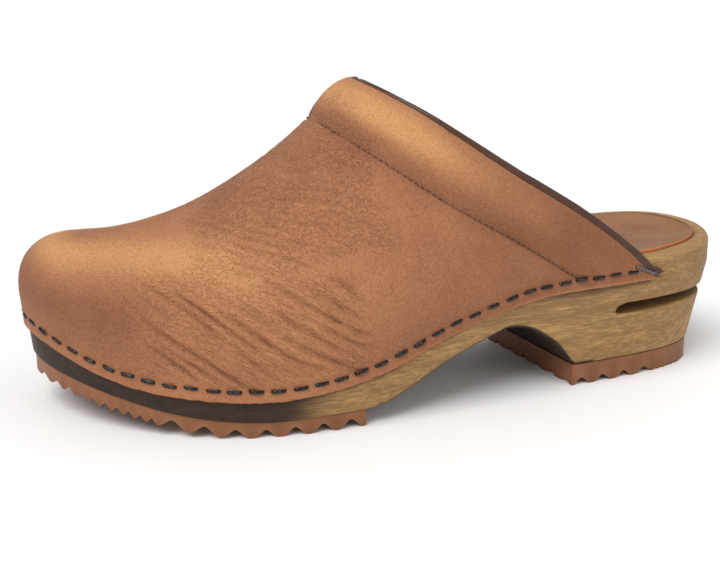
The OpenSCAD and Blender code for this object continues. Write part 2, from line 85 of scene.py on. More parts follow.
# ------------------------------------------------------------------ curves and noise
@dataclass(frozen=True)
class SmoothCurve:
    """A smooth curve through a few (place, value) points, straight towards its neighbour at each end."""

    points: tuple[tuple[float, float], ...]

    def __call__(self, x: Array | float) -> Array:
        """Value at x by cubic Hermite pieces whose slopes join each point's neighbours.

        Args:
            x: Places along the curve; beyond its ends the end value holds.

        Returns:
            The values, in the shape of x.
        """
        table = np.asarray(self.points, float)
        xs, vs = table[:, 0], table[:, 1]
        lo = np.maximum(np.arange(len(xs)) - 1, 0)
        hi = np.minimum(np.arange(len(xs)) + 1, len(xs) - 1)
        slopes = (vs[hi] - vs[lo]) / (xs[hi] - xs[lo])
        x = np.clip(np.asarray(x, float), xs[0], xs[-1])
        i = np.clip(np.searchsorted(xs, x, side="right") - 1, 0, len(xs) - 2)
        h = xs[i + 1] - xs[i]
        f = (x - xs[i]) / h
        g, c = f * f, f * f * f
        return ((2 * c - 3 * g + 1) * vs[i] + (c - 2 * g + f) * h * slopes[i]
                + (3 * g - 2 * c) * vs[i + 1] + (c - g) * h * slopes[i + 1])


def ease(f: Array | float) -> Array:
    """A smooth step: 0 below 0, 1 above 1, and 3f^2 - 2f^3 between."""
    g = np.clip(f, 0.0, 1.0)
    return g * g * (3 - 2 * g)


def bell(x: Array, width: float) -> Array:
    """A bell curve of the given half width: exp(-(x / width)^2)."""
    return np.exp(-(x / width) ** 2)


def mix(a: Array | float, b: Array | float, f: Array | float) -> Array:
    """The value a share f of the way from a to b."""
    return a + (b - a) * f


def unit(v: Array) -> Array:
    """Vectors scaled to length 1 along the last axis."""
    return v / np.maximum(np.linalg.norm(v, axis=-1, keepdims=True), 1e-9)


def soft_noise(x: Array, y: Array, seed: int) -> Array:
    """Smooth random relief: random values on whole numbers, joined by an eased blend.

    Args:
        x: First coordinate, in cells.
        y: Second coordinate, in cells.
        seed: Picks the random values.

    Returns:
        Values between -1 and 1.
    """
    size = 128
    table = np.random.default_rng(seed).uniform(-1, 1, (size, size))
    x, y = np.broadcast_arrays(np.asarray(x, float), np.asarray(y, float))
    xi, yi = np.floor(x).astype(int), np.floor(y).astype(int)
    xf, yf = ease(x - xi), ease(y - yi)
    xa, xb, ya, yb = xi % size, (xi + 1) % size, yi % size, (yi + 1) % size
    return mix(mix(table[xa, ya], table[xb, ya], xf), mix(table[xa, yb], table[xb, yb], xf), yf)


def layered_noise(x: Array, y: Array, seed: int, layers: int = 3) -> Array:
    """Sum of soft noise at doubling fineness and halving height."""
    total = np.zeros(np.broadcast(x, y).shape)
    for k in range(layers):
        total = total + soft_noise(np.asarray(x) * 2 ** k, np.asarray(y) * 2 ** k, seed + k) / 2 ** k
    return total


def arc_length(line: Array) -> Array:
    """Length run along a line of points up to each of them."""
    return np.concatenate([[0], np.cumsum(np.linalg.norm(np.diff(line, axis=0), axis=1))])


def lifted(plan: Array, height: Array) -> Array:
    """Points over places of a plan, each at its height."""
    return np.concatenate([plan, height[..., None]], -1)


# ------------------------------------------------------------------ meshes
@dataclass
class Shape:
    """Points and faces of a piece being built, with its masks and material numbers."""

    points: list[Array] = field(default_factory=list)
    faces: list[Array] = field(default_factory=list)
    masks: dict[str, list[Array]] = field(default_factory=dict)
    slots: list[Array] = field(default_factory=list)
    count: int = 0

    def add(self, points: Array, faces: Sequence[Array], slot: int = 0, **masks: Array) -> int:
        """Adds points and faces.

        Args:
            points: Places in millimetres, (n, 3).
            faces: Arrays of corner numbers counted from this call's first point.
            slot: Material number of the faces.
            masks: Named value of each point.

        Returns:
            The number of the first point added.
        """
        first = self.count
        pts = np.asarray(points, float).reshape(-1, 3)
        self.points.append(pts)
        self.count += len(pts)
        for f in faces:
            f = np.asarray(f, int)
            if len(f):
                self.faces.append(f + first)
                self.slots.append(np.full(len(f), slot))
        for name in set(masks) | set(self.masks):
            values = np.asarray(masks.get(name, 0.0), float)
            rows = self.masks.setdefault(name, [np.zeros(first)] if first else [])
            rows.append(np.broadcast_to(values.ravel() if values.ndim else values, (len(pts),)).copy())
        return first

    def join(self, faces: Sequence[Array]) -> None:
        """Adds faces of the first material between points that are already in the shape."""
        for f in faces:
            self.faces.append(np.asarray(f, int))
            self.slots.append(np.zeros(len(f), int))

    def build(self, name: str, materials: Sequence[bpy.types.Material], weld: float = 0.001,
              crease_angle: float = 40.0) -> bpy.types.Object:
        """Makes the mesh object, its doubles merged and its faces pointing out.

        Args:
            name: Name of the piece.
            materials: Its materials, in the order of the material numbers.
            weld: Distance in millimetres within which points become one; 0 leaves them.
            crease_angle: Edges sharper than this many degrees stay sharp.

        Returns:
            The new object, at the origin.
        """
        mesh = bpy.data.meshes.new(name)
        sizes = np.concatenate([np.full(len(f), f.shape[1]) for f in self.faces])
        corners = np.concatenate([f.ravel() for f in self.faces])
        starts = np.concatenate([[0], np.cumsum(sizes)[:-1]])
        co = np.concatenate(self.points) * MM
        mesh.vertices.add(len(co))
        mesh.vertices.foreach_set("co", co.astype(np.float32).ravel())
        mesh.loops.add(len(corners))
        mesh.loops.foreach_set("vertex_index", corners.astype(np.int32))
        mesh.polygons.add(len(sizes))
        mesh.polygons.foreach_set("loop_start", starts.astype(np.int32))
        mesh.polygons.foreach_set("material_index", np.concatenate(self.slots).astype(np.int32))
        mesh.update(calc_edges=True)
        for mask, rows in self.masks.items():
            layer = mesh.attributes.new(mask, "FLOAT", "POINT")
            layer.data.foreach_set("value", np.concatenate(rows).astype(np.float32))
        mesh.validate()
        bm = bmesh.new()
        bm.from_mesh(mesh)
        if weld > 0:
            bmesh.ops.remove_doubles(bm, verts=bm.verts, dist=weld * MM)
            bmesh.ops.dissolve_degenerate(bm, edges=bm.edges, dist=weld * MM * 0.5)
        bmesh.ops.recalc_face_normals(bm, faces=bm.faces)
        bm.to_mesh(mesh)
        bm.free()
        for material in materials:
            mesh.materials.append(material)
        mesh.polygons.foreach_set("use_smooth", np.ones(len(mesh.polygons), bool))
        mesh.set_sharp_from_angle(angle=math.radians(crease_angle))
        mesh.update()
        piece = bpy.data.objects.new(name, mesh)
        bpy.context.scene.collection.objects.link(piece)
        return piece


def grid_quads(rows: int, cols: int, wrap_cols: bool = False) -> Array:
    """Four-cornered faces of a grid stored row after row; wrapped rows join their ends."""
    j = np.arange(cols if wrap_cols else cols - 1)
    ii, jj = np.meshgrid(np.arange(rows - 1), j, indexing="ij")
    a, b = ii * cols + jj, ii * cols + (jj + 1) % cols
    c, d = (ii + 1) * cols + (jj + 1) % cols, (ii + 1) * cols + jj
    return np.stack([a, b, c, d], -1).reshape(-1, 4)


def strip_quads(a: Array, b: Array) -> Array:
    """Faces between two runs of point numbers of equal length."""
    return np.stack([a[:-1], a[1:], b[1:], b[:-1]], -1)


def grid_normals(p: Array) -> Array:
    """Unit normals of a grid of points, from the cross product of its two directions."""
    return unit(np.cross(np.gradient(p, axis=0), np.gradient(p, axis=1)))


def swept_tube(path: Array, up: Array, across: Array, height: Array) -> tuple[Array, list[Array]]:
    """A section carried along a path, closed by a face at each end.

    Args:
        path: The path's points, (n, 3).
        up: Direction at each point that the section's height is measured in, (n, 3).
        across: The section's sideways places at each path point, (n, m).
        height: The section's heights at each path point, (n, m).

    Returns:
        The points, and the faces as arrays of corner numbers.
    """
    way = unit(np.gradient(path, axis=0))
    side = unit(np.cross(way, up))
    top = np.cross(side, way)
    n, m = across.shape
    points = path[:, None] + side[:, None] * across[..., None] + top[:, None] * height[..., None]
    ends = np.array([np.arange(m)[::-1], (n - 1) * m + np.arange(m)])
    return points.reshape(-1, 3), [grid_quads(n, m, wrap_cols=True), ends]


# ------------------------------------------------------------------ the clog's form
class Side(Enum):
    """The two long sides of the shoe."""

    OUTER = 1
    INNER = -1


@dataclass
class ClogForm:
    """The curves that the sole and the upper share, as the frame has them."""

    plan_points: tuple[tuple[float, float], ...] = (
        (1, -4), (3, 14), (13, 29), (41, 37.5), (85, 40.5), (130, 44), (170, 49), (203, 44),
        (229, 30), (250, 9), (260, -14), (253, -34), (229, -47), (192, -51), (154, -44),
        (115, -34), (76, -32), (36, -34), (9, -25))
    wood_top: SmoothCurve = SmoothCurve(((0, 50), (30, 48), (60, 46), (90, 43), (120, 37),
        (150, 29), (180, 25), (210, 25.5), (235, 28.5), (258, 33.5)))
    leather_edge: SmoothCurve = SmoothCurve(((25, 39), (60, 39), (90, 37.5), (120, 30), (150, 19),
        (180, 14), (210, 15), (235, 19.5), (258, 30)))
    ridge: SmoothCurve = SmoothCurve(((30, 163), (90, 139), (140, 111.5), (150, 104.5), (165, 92),
        (180, 81.5), (195, 72.5), (210, 66), (225, 62.5), (238, 62)))
    ridge_side: SmoothCurve = SmoothCurve(((30, 0), (130, -3), (180, 1), (225, -6), (238, -6)))
    fullness: SmoothCurve = SmoothCurve(((30, 2), (130, 1.95), (180, 1.85), (222, 2), (258, 2.7)))
    bulge: SmoothCurve = SmoothCurve(((30, 0), (100, 0.5), (150, 1.5), (200, 2), (240, 2.6),
        (258, 1.8)))
    topline_rise: SmoothCurve = SmoothCurve(((0, 0.03), (0.1, 0.155), (0.3, 0.365), (0.6, 0.63),
        (0.85, 0.87), (1, 1)))
    seam_rise: SmoothCurve = SmoothCurve(((0, 0.05), (0.3, 0.33), (0.6, 0.59), (1, 1)))
    underside_curve: SmoothCurve = SmoothCurve(((70, 8), (73, 11.8), (77.5, 16.8), (83, 21),
        (89, 24.6), (94.5, 26.3), (100, 26.6), (104, 25.2), (116, 20.8), (126.5, 16.4),
        (136, 11.3), (146, 7), (154, 6), (165, 5.8), (190, 5.4), (215, 8), (235, 12.6), (258, 19)))
    wall_lean: SmoothCurve = SmoothCurve(((70, 1), (80, 0.7), (100, 0.5), (140, 0.35), (160, 0.2),
        (260, 0.2)))
    heel_rubber: float = 8.0
    heel_taper: float = 6.0
    heel_front: float = 70.0
    heel_skew: float = 0.11
    skew_side: float = 34.0
    leather: float = 2.2
    proud: float = 1.5
    rebate_depth: float = 0.8
    instep_station: float = 141.0
    upper_rear: float = 41.0
    seam_rear: float = 72.0
    seam_front: float = 158.0
    collar_swell: float = 2.5
    first_spine: float = 30.0
    last_spine: float = 238.0
    climb: float = 0.9
    shift: Array = field(default_factory=lambda: np.zeros(3))

    def __post_init__(self) -> None:
        """Samples the plan, and takes the shift to the frame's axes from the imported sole."""
        t = np.linspace(0, 1, 8001)
        p = self.plan(t)
        self.tip_t = float(t[np.argmax(p[:, 0])])
        heel = float(t[np.argmin(p[:, 0])])
        heel = heel - 1 if heel > 0.5 else heel
        self.low, self.high = float(p[:, 0].min()), float(p[:, 0].max())
        self._runs = {Side.OUTER: np.linspace(heel, self.tip_t, 6001),
                      Side.INNER: np.linspace(heel + 1, self.tip_t, 6001)}
        low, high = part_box("wooden_sole")
        lo, hi = np.array(low) / MM, np.array(high) / MM
        centre = (p.min(0) + p.max(0)) / 2
        self.shift = np.array([*((lo + hi)[:2] / 2 - centre), 0.0])

    def place(self, points: Array) -> Array:
        """Moves points from stations to the frame's axes."""
        return np.asarray(points, float) + self.shift

    # ---- plan
    def plan(self, t: Array) -> Array:
        """Place on the sole's plan: a closed uniform cubic B-spline of the control points."""
        c = np.asarray(self.plan_points, float)
        n = len(c)
        x = (np.asarray(t, float) % 1) * n
        i = np.floor(x).astype(int)
        f = (x - i)[..., None]
        return ((1 - f) ** 3 * c[(i - 1) % n] + (3 * f ** 3 - 6 * f ** 2 + 4) * c[i % n]
                + (-3 * f ** 3 + 3 * f ** 2 + 3 * f + 1) * c[(i + 1) % n] + f ** 3 * c[(i + 2) % n]) / 6

    def outward(self, t: Array) -> Array:
        """Unit direction out of the plan's edge: the tangent turned by a right angle."""
        step = 2e-4
        d = unit(self.plan(np.asarray(t) + step) - self.plan(np.asarray(t) - step))
        return np.stack([-d[..., 1], d[..., 0]], -1)

    def t_at(self, station: Array, side: Side) -> Array:
        """Plan parameter of a station on one side."""
        run = self._runs[side]
        return np.interp(station, self.plan(run)[:, 0], run)

    def inset_edge(self, x: Array, side: Side, inset: float) -> Array:
        """Sideways place of one side's edge, set in by a distance, at places along the shoe."""
        run = self._runs[side]
        q = self.plan(run) - self.outward(run) * inset
        return np.interp(x, q[:, 0], q[:, 1])

    def even_places(self, first: float, last: float, count: int) -> Array:
        """Plan parameters spread at equal arcs from first to last, the ends among them."""
        run = np.linspace(first, last, 2001)
        arc = arc_length(self.plan(run))
        return np.interp(np.linspace(0, arc[-1], count), arc, run)

    def rebate(self, s: Array) -> Array:
        """Depth of the shallow step in the wood that takes the leather."""
        return self.rebate_depth * ease((s - self.upper_rear + 6) / 5)

    # ---- heights
    def crossing(self, back: float) -> float:
        """Station where a line set back from the opening's edge crosses the instep."""
        return self.instep_station + back * 1.5

    def topline_z(self, s: Array, back: float = 0.0) -> Array:
        """Height of the opening's edge, or of a line set back from it, at a station."""
        front = self.crossing(back)
        w = (s - self.upper_rear) / (front - self.upper_rear)
        lo = float(self.leather_edge(self.upper_rear)) - back
        hi = float(self.ridge(front))
        return lo + (hi - lo) * self.topline_rise(w) + np.maximum(w - 1, 0) * (hi - lo) * 0.87

    def seam_z(self, s: Array) -> Array:
        """Height of the collar's seam at a station."""
        w = (s - self.seam_rear) / (self.seam_front - self.seam_rear)
        lo, hi = float(self.leather_edge(self.seam_rear)), float(self.ridge(self.seam_front))
        return lo + (hi - lo) * self.seam_rise(w) + np.minimum(w, 0) * (hi - lo) * 0.93

    def collar_share(self, s: Array, z: Array) -> Array:
        """0 on the collar's seam and below, 1 on the opening's edge."""
        a, b = self.seam_z(s), self.topline_z(s)
        return np.clip((z - a) / np.maximum(b - a, 1), 0, 1)

    def swell(self, s: Array, z: Array) -> Array:
        """How far the padded collar stands out: a rounded hump between seam and edge."""
        clear = ease((z - self.leather_edge(s) - 6) / 14)
        growth = mix(0.3, 1.0, ease((s - self.seam_rear) / 55))
        return clear * growth * self.collar_swell * np.sin(np.pi * self.collar_share(s, z)) ** 0.75

    def underside(self, x: Array, y: Array) -> Array:
        """Height of the wood's underside: heel, arch behind the breast, waist and forefoot."""
        u = x - self.heel_skew * (self.skew_side - y)
        blend = ease((110 - x) / 20)
        z = self.underside_curve(u * blend + x * (1 - blend))
        z = np.where(x < self.heel_front + 6, np.maximum(z, self.heel_rubber), z)
        return np.where((x < self.heel_front + 30) & (u < self.heel_front), self.heel_rubber, z)

    # ---- the upper's face
    def upper(self, t: Array, phi: Array, depth: Array | float = 0.0) -> Array:
        """Point on a meridian: a quarter of a superellipse from the wood's edge to the ridge.

        Args:
            t: Plan parameter.
            phi: Climb in radians, 0 at the wood's edge and a right angle on the ridge.
            depth: Distance under the leather's face.

        Returns:
            Points in stations, with a last axis of 3.
        """
        t, phi, depth = np.broadcast_arrays(np.asarray(t, float), phi, depth)
        p, out = self.plan(t), self.outward(t)
        s = p[..., 0]
        sc = np.clip(s, self.first_spine, self.last_spine)
        spine = np.stack([sc, self.ridge_side(sc)], -1)
        n = self.fullness(s)
        sine, cosine = np.clip(np.sin(phi), 0, 1), np.clip(np.cos(phi), 0, 1)
        lift, reach = sine ** (2 / n), cosine ** (2 / n)
        z0, top = self.wood_top(s) - 1, self.ridge(sc)
        steep = np.sqrt(1 + (self.ridge(sc + 0.5) - self.ridge(sc - 0.5)) ** 2)
        d = depth - self.swell(s, z0 + (top - z0) * lift)
        q = p + out * (self.proud - d)[..., None]
        xy = spine + (q - spine) * reach[..., None]
        xy = xy + out * (self.bulge(s) * 3 * sine * cosine ** 3)[..., None]
        return lifted(xy, z0 + (top - d * steep - z0) * lift)

    def climb_to(self, t: Array, z: Array) -> Array:
        """Climb in radians at which a meridian reaches a height."""
        s = self.plan(t)[..., 0]
        sc = np.clip(s, self.first_spine, self.last_spine)
        z0 = self.wood_top(s) - 1
        return np.arcsin(np.clip((z - z0) / (self.ridge(sc) - z0), 0, 1) ** (self.fullness(s) / 2))

    def face(self, t: Array, length: Array, depth: Array | float, flat: Array) -> Array:
        """Point of the leather a length up from its lower edge: wall first, then dome."""
        t, length, flat = np.broadcast_arrays(np.asarray(t, float), length, flat)
        p, out = self.plan(t), self.outward(t)
        z = self.leather_edge(p[..., 0]) + length
        on_wall = p + out * (self.proud - depth + self.swell(p[..., 0], z))[..., None]
        wall = lifted(on_wall, z)
        phi = np.clip(np.radians((length - flat) / self.climb), 0, np.pi / 2)
        return np.where((length <= flat)[..., None], wall, self.upper(t, phi, depth))

    def topline(self, t: Array, depth: float = 0.0, back: float = 0.0) -> Array:
        """Point on the opening's edge over a place of the plan."""
        p, out = self.plan(t), self.outward(t)
        s = p[..., 0]
        z = self.topline_z(s, back)
        low = lifted(p + out * (self.proud - depth), z)
        return np.where((z < self.wood_top(s) - 1)[..., None], low,
                        self.upper(t, self.climb_to(t, z), depth))

    def seam(self, t: Array, depth: float = 0.0) -> Array:
        """Point on the collar's seam over a place of the plan."""
        s = self.plan(t)[..., 0]
        return self.upper(t, self.climb_to(t, self.seam_z(s)), depth)


# ------------------------------------------------------------------ shader building
class NodeBoard:
    """Short calls for placing and linking the nodes of one tree."""

    def __init__(self, tree: bpy.types.NodeTree) -> None:
        """Keeps the tree that nodes go into."""
        self.tree = tree

    def node(self, kind: str, **inputs: object) -> bpy.types.Node:
        """Adds a node and sets or links its inputs.

        Args:
            kind: The node's class name.
            inputs: Input name with underscores for spaces, or the node's own property.

        Returns:
            The node.
        """
        node = self.tree.nodes.new(kind)
        for name, value in inputs.items():
            if hasattr(node, name) and name not in node.inputs:
                setattr(node, name, value)
                continue
            self.feed(node.inputs[name.replace("_", " ")], value)
        return node

    def feed(self, socket: bpy.types.NodeSocket, value: object) -> None:
        """Links a socket to an output, or gives it a plain value."""
        if isinstance(value, bpy.types.NodeSocket):
            self.tree.links.new(value, socket)
        elif isinstance(value, (tuple, list)) and len(value) == 3 and socket.type == "RGBA":
            socket.default_value = (*value, 1.0)
        else:
            socket.default_value = value

    def math(self, operation: str, a: object, b: object = 0.0,
             clamp: bool = False) -> bpy.types.NodeSocket:
        """Result of a Math node."""
        node = self.tree.nodes.new("ShaderNodeMath")
        node.operation, node.use_clamp = operation, clamp
        self.feed(node.inputs[0], a)
        self.feed(node.inputs[1], b)
        return node.outputs[0]

    def blend(self, a: object, b: object, factor: object) -> bpy.types.NodeSocket:
        """Colour result of a Mix node."""
        node = self.tree.nodes.new("ShaderNodeMix")
        node.data_type = "RGBA"
        self.feed(node.inputs[0], factor)
        self.feed(node.inputs[6], a)
        self.feed(node.inputs[7], b)
        return node.outputs[2]

    def tint(self, colour: object, shade: Colour, mask: str, amount: float) -> bpy.types.NodeSocket:
        """Colour drawn towards a shade by a share of a mask."""
        return self.blend(colour, shade, self.math("MULTIPLY", self.mask(mask), amount, clamp=True))

    def span(self, value: object, low: float, high: float, to_low: float = 0.0,
             to_high: float = 1.0) -> bpy.types.NodeSocket:
        """Value stretched from one range to another and held at its ends."""
        node = self.tree.nodes.new("ShaderNodeMapRange")
        for k, v in enumerate((value, low, high, to_low, to_high)):
            self.feed(node.inputs[k], v)
        return node.outputs[0]

    def stretched(self, vector: object, scale: tuple[float, float, float],
                  turn: tuple[float, float, float] = (0, 0, 0)) -> bpy.types.NodeSocket:
        """Coordinates turned and stretched by a Mapping node."""
        node = self.tree.nodes.new("ShaderNodeMapping")
        self.feed(node.inputs["Vector"], vector)
        node.inputs["Scale"].default_value = scale
        node.inputs["Rotation"].default_value = [math.radians(a) for a in turn]
        return node.outputs[0]

    def noise(self, vector: object, scale: float, detail: float, rough: float) -> bpy.types.NodeSocket:
        """Value of a Noise texture."""
        node = self.tree.nodes.new("ShaderNodeTexNoise")
        self.feed(node.inputs["Vector"], vector)
        node.inputs["Scale"].default_value = scale
        node.inputs["Detail"].default_value = detail
        node.inputs["Roughness"].default_value = rough
        return node.outputs[0]

    def cells(self, vector: object, scale: float) -> bpy.types.NodeSocket:
        """Distance to the cell centres of a Voronoi texture."""
        node = self.tree.nodes.new("ShaderNodeTexVoronoi")
        self.feed(node.inputs["Vector"], vector)
        node.inputs["Scale"].default_value = scale
        return node.outputs["Distance"]

    def mask(self, name: str) -> bpy.types.NodeSocket:
        """Value that a piece's mesh carries under a name."""
        node = self.tree.nodes.new("ShaderNodeAttribute")
        node.attribute_name = name
        return node.outputs["Fac"]


class ShaderGroup:
    """A node group with named inputs and outputs, built once and placed many times."""

    def __init__(self, name: str, inputs: dict[str, tuple[str, object]],
                 outputs: dict[str, str]) -> None:
        """Makes the group's interface.

        Args:
            name: Name of the group.
            inputs: Socket name to (kind, default).
            outputs: Socket name to kind; kinds are Float, Color and Vector.
        """
        self.tree = bpy.data.node_groups.new(name, "ShaderNodeTree")
        for label, (kind, default) in inputs.items():
            socket = self.tree.interface.new_socket(label, in_out="INPUT",
                                                    socket_type=f"NodeSocket{kind}")
            if default is not None:
                socket.default_value = (*default, 1.0) if kind == "Color" else default
        for label, kind in outputs.items():
            self.tree.interface.new_socket(label, in_out="OUTPUT", socket_type=f"NodeSocket{kind}")
        self.board = NodeBoard(self.tree)
        self.source = self.tree.nodes.new("NodeGroupInput")
        self.sink = self.tree.nodes.new("NodeGroupOutput")

    def get(self, label: str) -> bpy.types.NodeSocket:
        """Socket inside the group that carries an input."""
        return self.source.outputs[label]

    def put(self, label: str, value: bpy.types.NodeSocket) -> None:
        """Links a value to one of the group's outputs."""
        self.tree.links.new(value, self.sink.inputs[label])

    def use(self, board: NodeBoard, **inputs: object) -> bpy.types.Node:
        """Places the group in a material and sets its inputs."""
        node = board.tree.nodes.new("ShaderNodeGroup")
        node.node_tree = self.tree
        for name, value in inputs.items():
            board.feed(node.inputs[name.replace("_", " ")], value)
        return node


def hide_grain_group() -> ShaderGroup:
    """Pebbled hide: cells of one size, warped, turned and stretched, under two finer noises."""
    g = ShaderGroup("hide_grain", {
        "Vector": ("Vector", None), "Size": ("Float", 900.0), "Turn": ("Float", 0.0)},
        {"Height": "Float"})
    b = g.board
    warp = b.node("ShaderNodeTexNoise", Vector=g.get("Vector"), Scale=160.0, Detail=2.0)
    shift = b.node("ShaderNodeVectorMath", operation="MULTIPLY_ADD")
    b.feed(shift.inputs[0], warp.outputs["Color"])
    b.feed(shift.inputs[1], (0.0012, 0.0012, 0.0012))
    b.feed(shift.inputs[2], g.get("Vector"))
    turned = b.node("ShaderNodeVectorRotate", rotation_type="Y_AXIS", Vector=shift.outputs[0],
                    Angle=g.get("Turn"))
    long = b.stretched(turned.outputs[0], (0.75, 1.0, 1.1))
    cells = b.tree.nodes.new("ShaderNodeTexVoronoi")
    cells.feature = "SMOOTH_F1"
    b.feed(cells.inputs["Vector"], long)
    b.feed(cells.inputs["Scale"], g.get("Size"))
    fine = b.noise(long, 2600.0, 3.0, 0.6)
    middle = b.noise(long, 1400.0, 2.0, 0.5)
    height = b.math("ADD", b.math("MULTIPLY", cells.outputs["Distance"], -0.7),
                    b.math("ADD", b.math("MULTIPLY", fine, 0.6), b.math("MULTIPLY", middle, 0.35)))
    g.put("Height", height)
    return g


def wrinkle_group() -> ShaderGroup:
    """Fine wrinkles: the zero lines of noise drawn out along a tilted direction."""
    g = ShaderGroup("fine_wrinkles", {
        "Vector": ("Vector", None), "Turn": ("Float", 0.0), "Size": ("Float", 400.0)},
        {"Height": "Float"})
    b = g.board
    turned = b.node("ShaderNodeVectorRotate", rotation_type="Y_AXIS", Vector=g.get("Vector"),
                    Angle=g.get("Turn"))
    drawn = b.stretched(turned.outputs[0], (0.15, 1.0, 1.0))
    lines = b.node("ShaderNodeTexNoise", Vector=drawn, Scale=g.get("Size"), Detail=2.0, Roughness=0.5,
                   Distortion=0.25)
    off = b.math("ABSOLUTE", b.math("SUBTRACT", lines.outputs[0], 0.5))
    g.put("Height", b.span(off, 0.0, 0.09))
    return g


def mottle_group() -> ShaderGroup:
    """Cloudy colour: two colours mixed by broad noise and flecked by a third."""
    g = ShaderGroup("mottle", {
        "Vector": ("Vector", None), "Base": ("Color", (0.5, 0.5, 0.5)),
        "Cloud": ("Color", (0.5, 0.5, 0.5)), "Fleck": ("Color", (0.5, 0.5, 0.5)),
        "Scale": ("Float", 30.0), "Fleck Amount": ("Float", 0.3)},
        {"Color": "Color"})
    b = g.board
    broad = b.node("ShaderNodeTexNoise", Vector=g.get("Vector"), Scale=g.get("Scale"), Detail=5.0,
                   Roughness=0.62)
    small = b.node("ShaderNodeTexNoise", Vector=g.get("Vector"),
                   Scale=b.math("MULTIPLY", g.get("Scale"), 36.0), Detail=4.0, Roughness=0.7)
    clouds = b.blend(g.get("Base"), g.get("Cloud"), b.span(broad.outputs[0], 0.36, 0.66))
    amount = b.math("MULTIPLY", b.span(small.outputs[0], 0.42, 0.72), g.get("Fleck Amount"))
    g.put("Color", b.blend(clouds, g.get("Fleck"), amount))
    return g


def wood_grain_group() -> ShaderGroup:
    """Plain-sawn wood: noise drawn out along the sole, with fine dark pores and rings."""
    g = ShaderGroup("wood_grain", {
        "Vector": ("Vector", None), "Light": ("Color", (0.5, 0.4, 0.3)), "Dark": ("Color", (0.3, 0.2, 0.1)),
        "Rings": ("Float", 1.0)},
        {"Color": "Color", "Height": "Float"})
    b = g.board
    drawn = b.stretched(g.get("Vector"), (0.09, 1.0, 1.0), (0, 2, 0))
    warp = b.noise(b.stretched(g.get("Vector"), (0.25, 1.0, 1.0)), 26.0, 2.0, 0.5)
    bands = b.node("ShaderNodeTexNoise", Vector=drawn, Scale=260.0, Detail=5.0, Roughness=0.7,
                   Distortion=0.4)
    fibres = b.noise(b.stretched(g.get("Vector"), (0.12, 1.0, 1.0), (0, 2, 0)), 1300.0, 4.0, 0.7)
    pores = b.noise(b.stretched(g.get("Vector"), (0.16, 1.0, 1.0)), 2000.0, 2.0, 0.5)
    tone = b.math("ADD", b.math("MULTIPLY", bands.outputs[0], g.get("Rings")),
                  b.math("ADD", b.math("MULTIPLY", fibres, 1.0), b.math("MULTIPLY", warp, 0.25)))
    colour = b.blend(g.get("Dark"), g.get("Light"), b.span(tone, 0.9, 1.3))
    colour = b.blend(colour, g.get("Dark"), b.span(pores, 0.58, 0.72, 0.0, 0.6))
    g.put("Color", colour)
    g.put("Height", b.math("SUBTRACT", fibres, b.span(pores, 0.62, 0.8, 0.0, 0.5)))
    return g


class Groups:
    """The shader groups, each built once."""

    def __init__(self) -> None:
        """Builds every group."""
        self.hide = hide_grain_group()
        self.wrinkles = wrinkle_group()
        self.mottle = mottle_group()
        self.wood = wood_grain_group()


@dataclass(frozen=True)
class Finish:
    """A material in the making: its name and its shader's plain numbers."""

    name: str
    roughness: float = 0.6
    metallic: float = 0.0
    specular: float = 0.5
    sheen: float = 0.0
    sheen_tint: Colour = (1.0, 0.9, 0.8)
    subsurface: float = 0.0
    subsurface_scale: float = 0.004

    def start(self) -> tuple[bpy.types.Material, NodeBoard, bpy.types.Node, bpy.types.NodeSocket]:
        """Makes the material with its shader.

        Returns:
            The material, its board, the shader and the object's coordinates.
        """
        material = bpy.data.materials.new(self.name)
        material.use_nodes = True
        board = NodeBoard(material.node_tree)
        shader = material.node_tree.nodes["Principled BSDF"]
        for label, value in (
                ("Roughness", self.roughness), ("Metallic", self.metallic),
                ("Specular IOR Level", self.specular), ("Sheen Weight", self.sheen),
                ("Sheen Tint", (*self.sheen_tint, 1.0)), ("Sheen Roughness", 0.45),
                ("Subsurface Weight", self.subsurface), ("Subsurface Scale", self.subsurface_scale)):
            shader.inputs[label].default_value = value
        where = material.node_tree.nodes.new("ShaderNodeTexCoord").outputs["Object"]
        return material, board, shader, where

    def bump(self, board: NodeBoard, shader: bpy.types.Node, height: bpy.types.NodeSocket,
             depth: float, strength: float = 1.0) -> None:
        """Feeds a relief of a given depth in metres to the shader's normal."""
        node = board.node("ShaderNodeBump", Strength=strength, Distance=depth, Height=height)
        board.feed(shader.inputs["Normal"], node.outputs[0])

    def vary(self, board: NodeBoard, shader: bpy.types.Node, value: bpy.types.NodeSocket,
             reach: tuple[float, float], change: tuple[float, float]) -> None:
        """Lets the roughness follow a value: changed by two amounts at the two ends of its reach."""
        rough = board.span(value, *reach, self.roughness + change[0], self.roughness + change[1])
        board.feed(shader.inputs["Roughness"], rough)


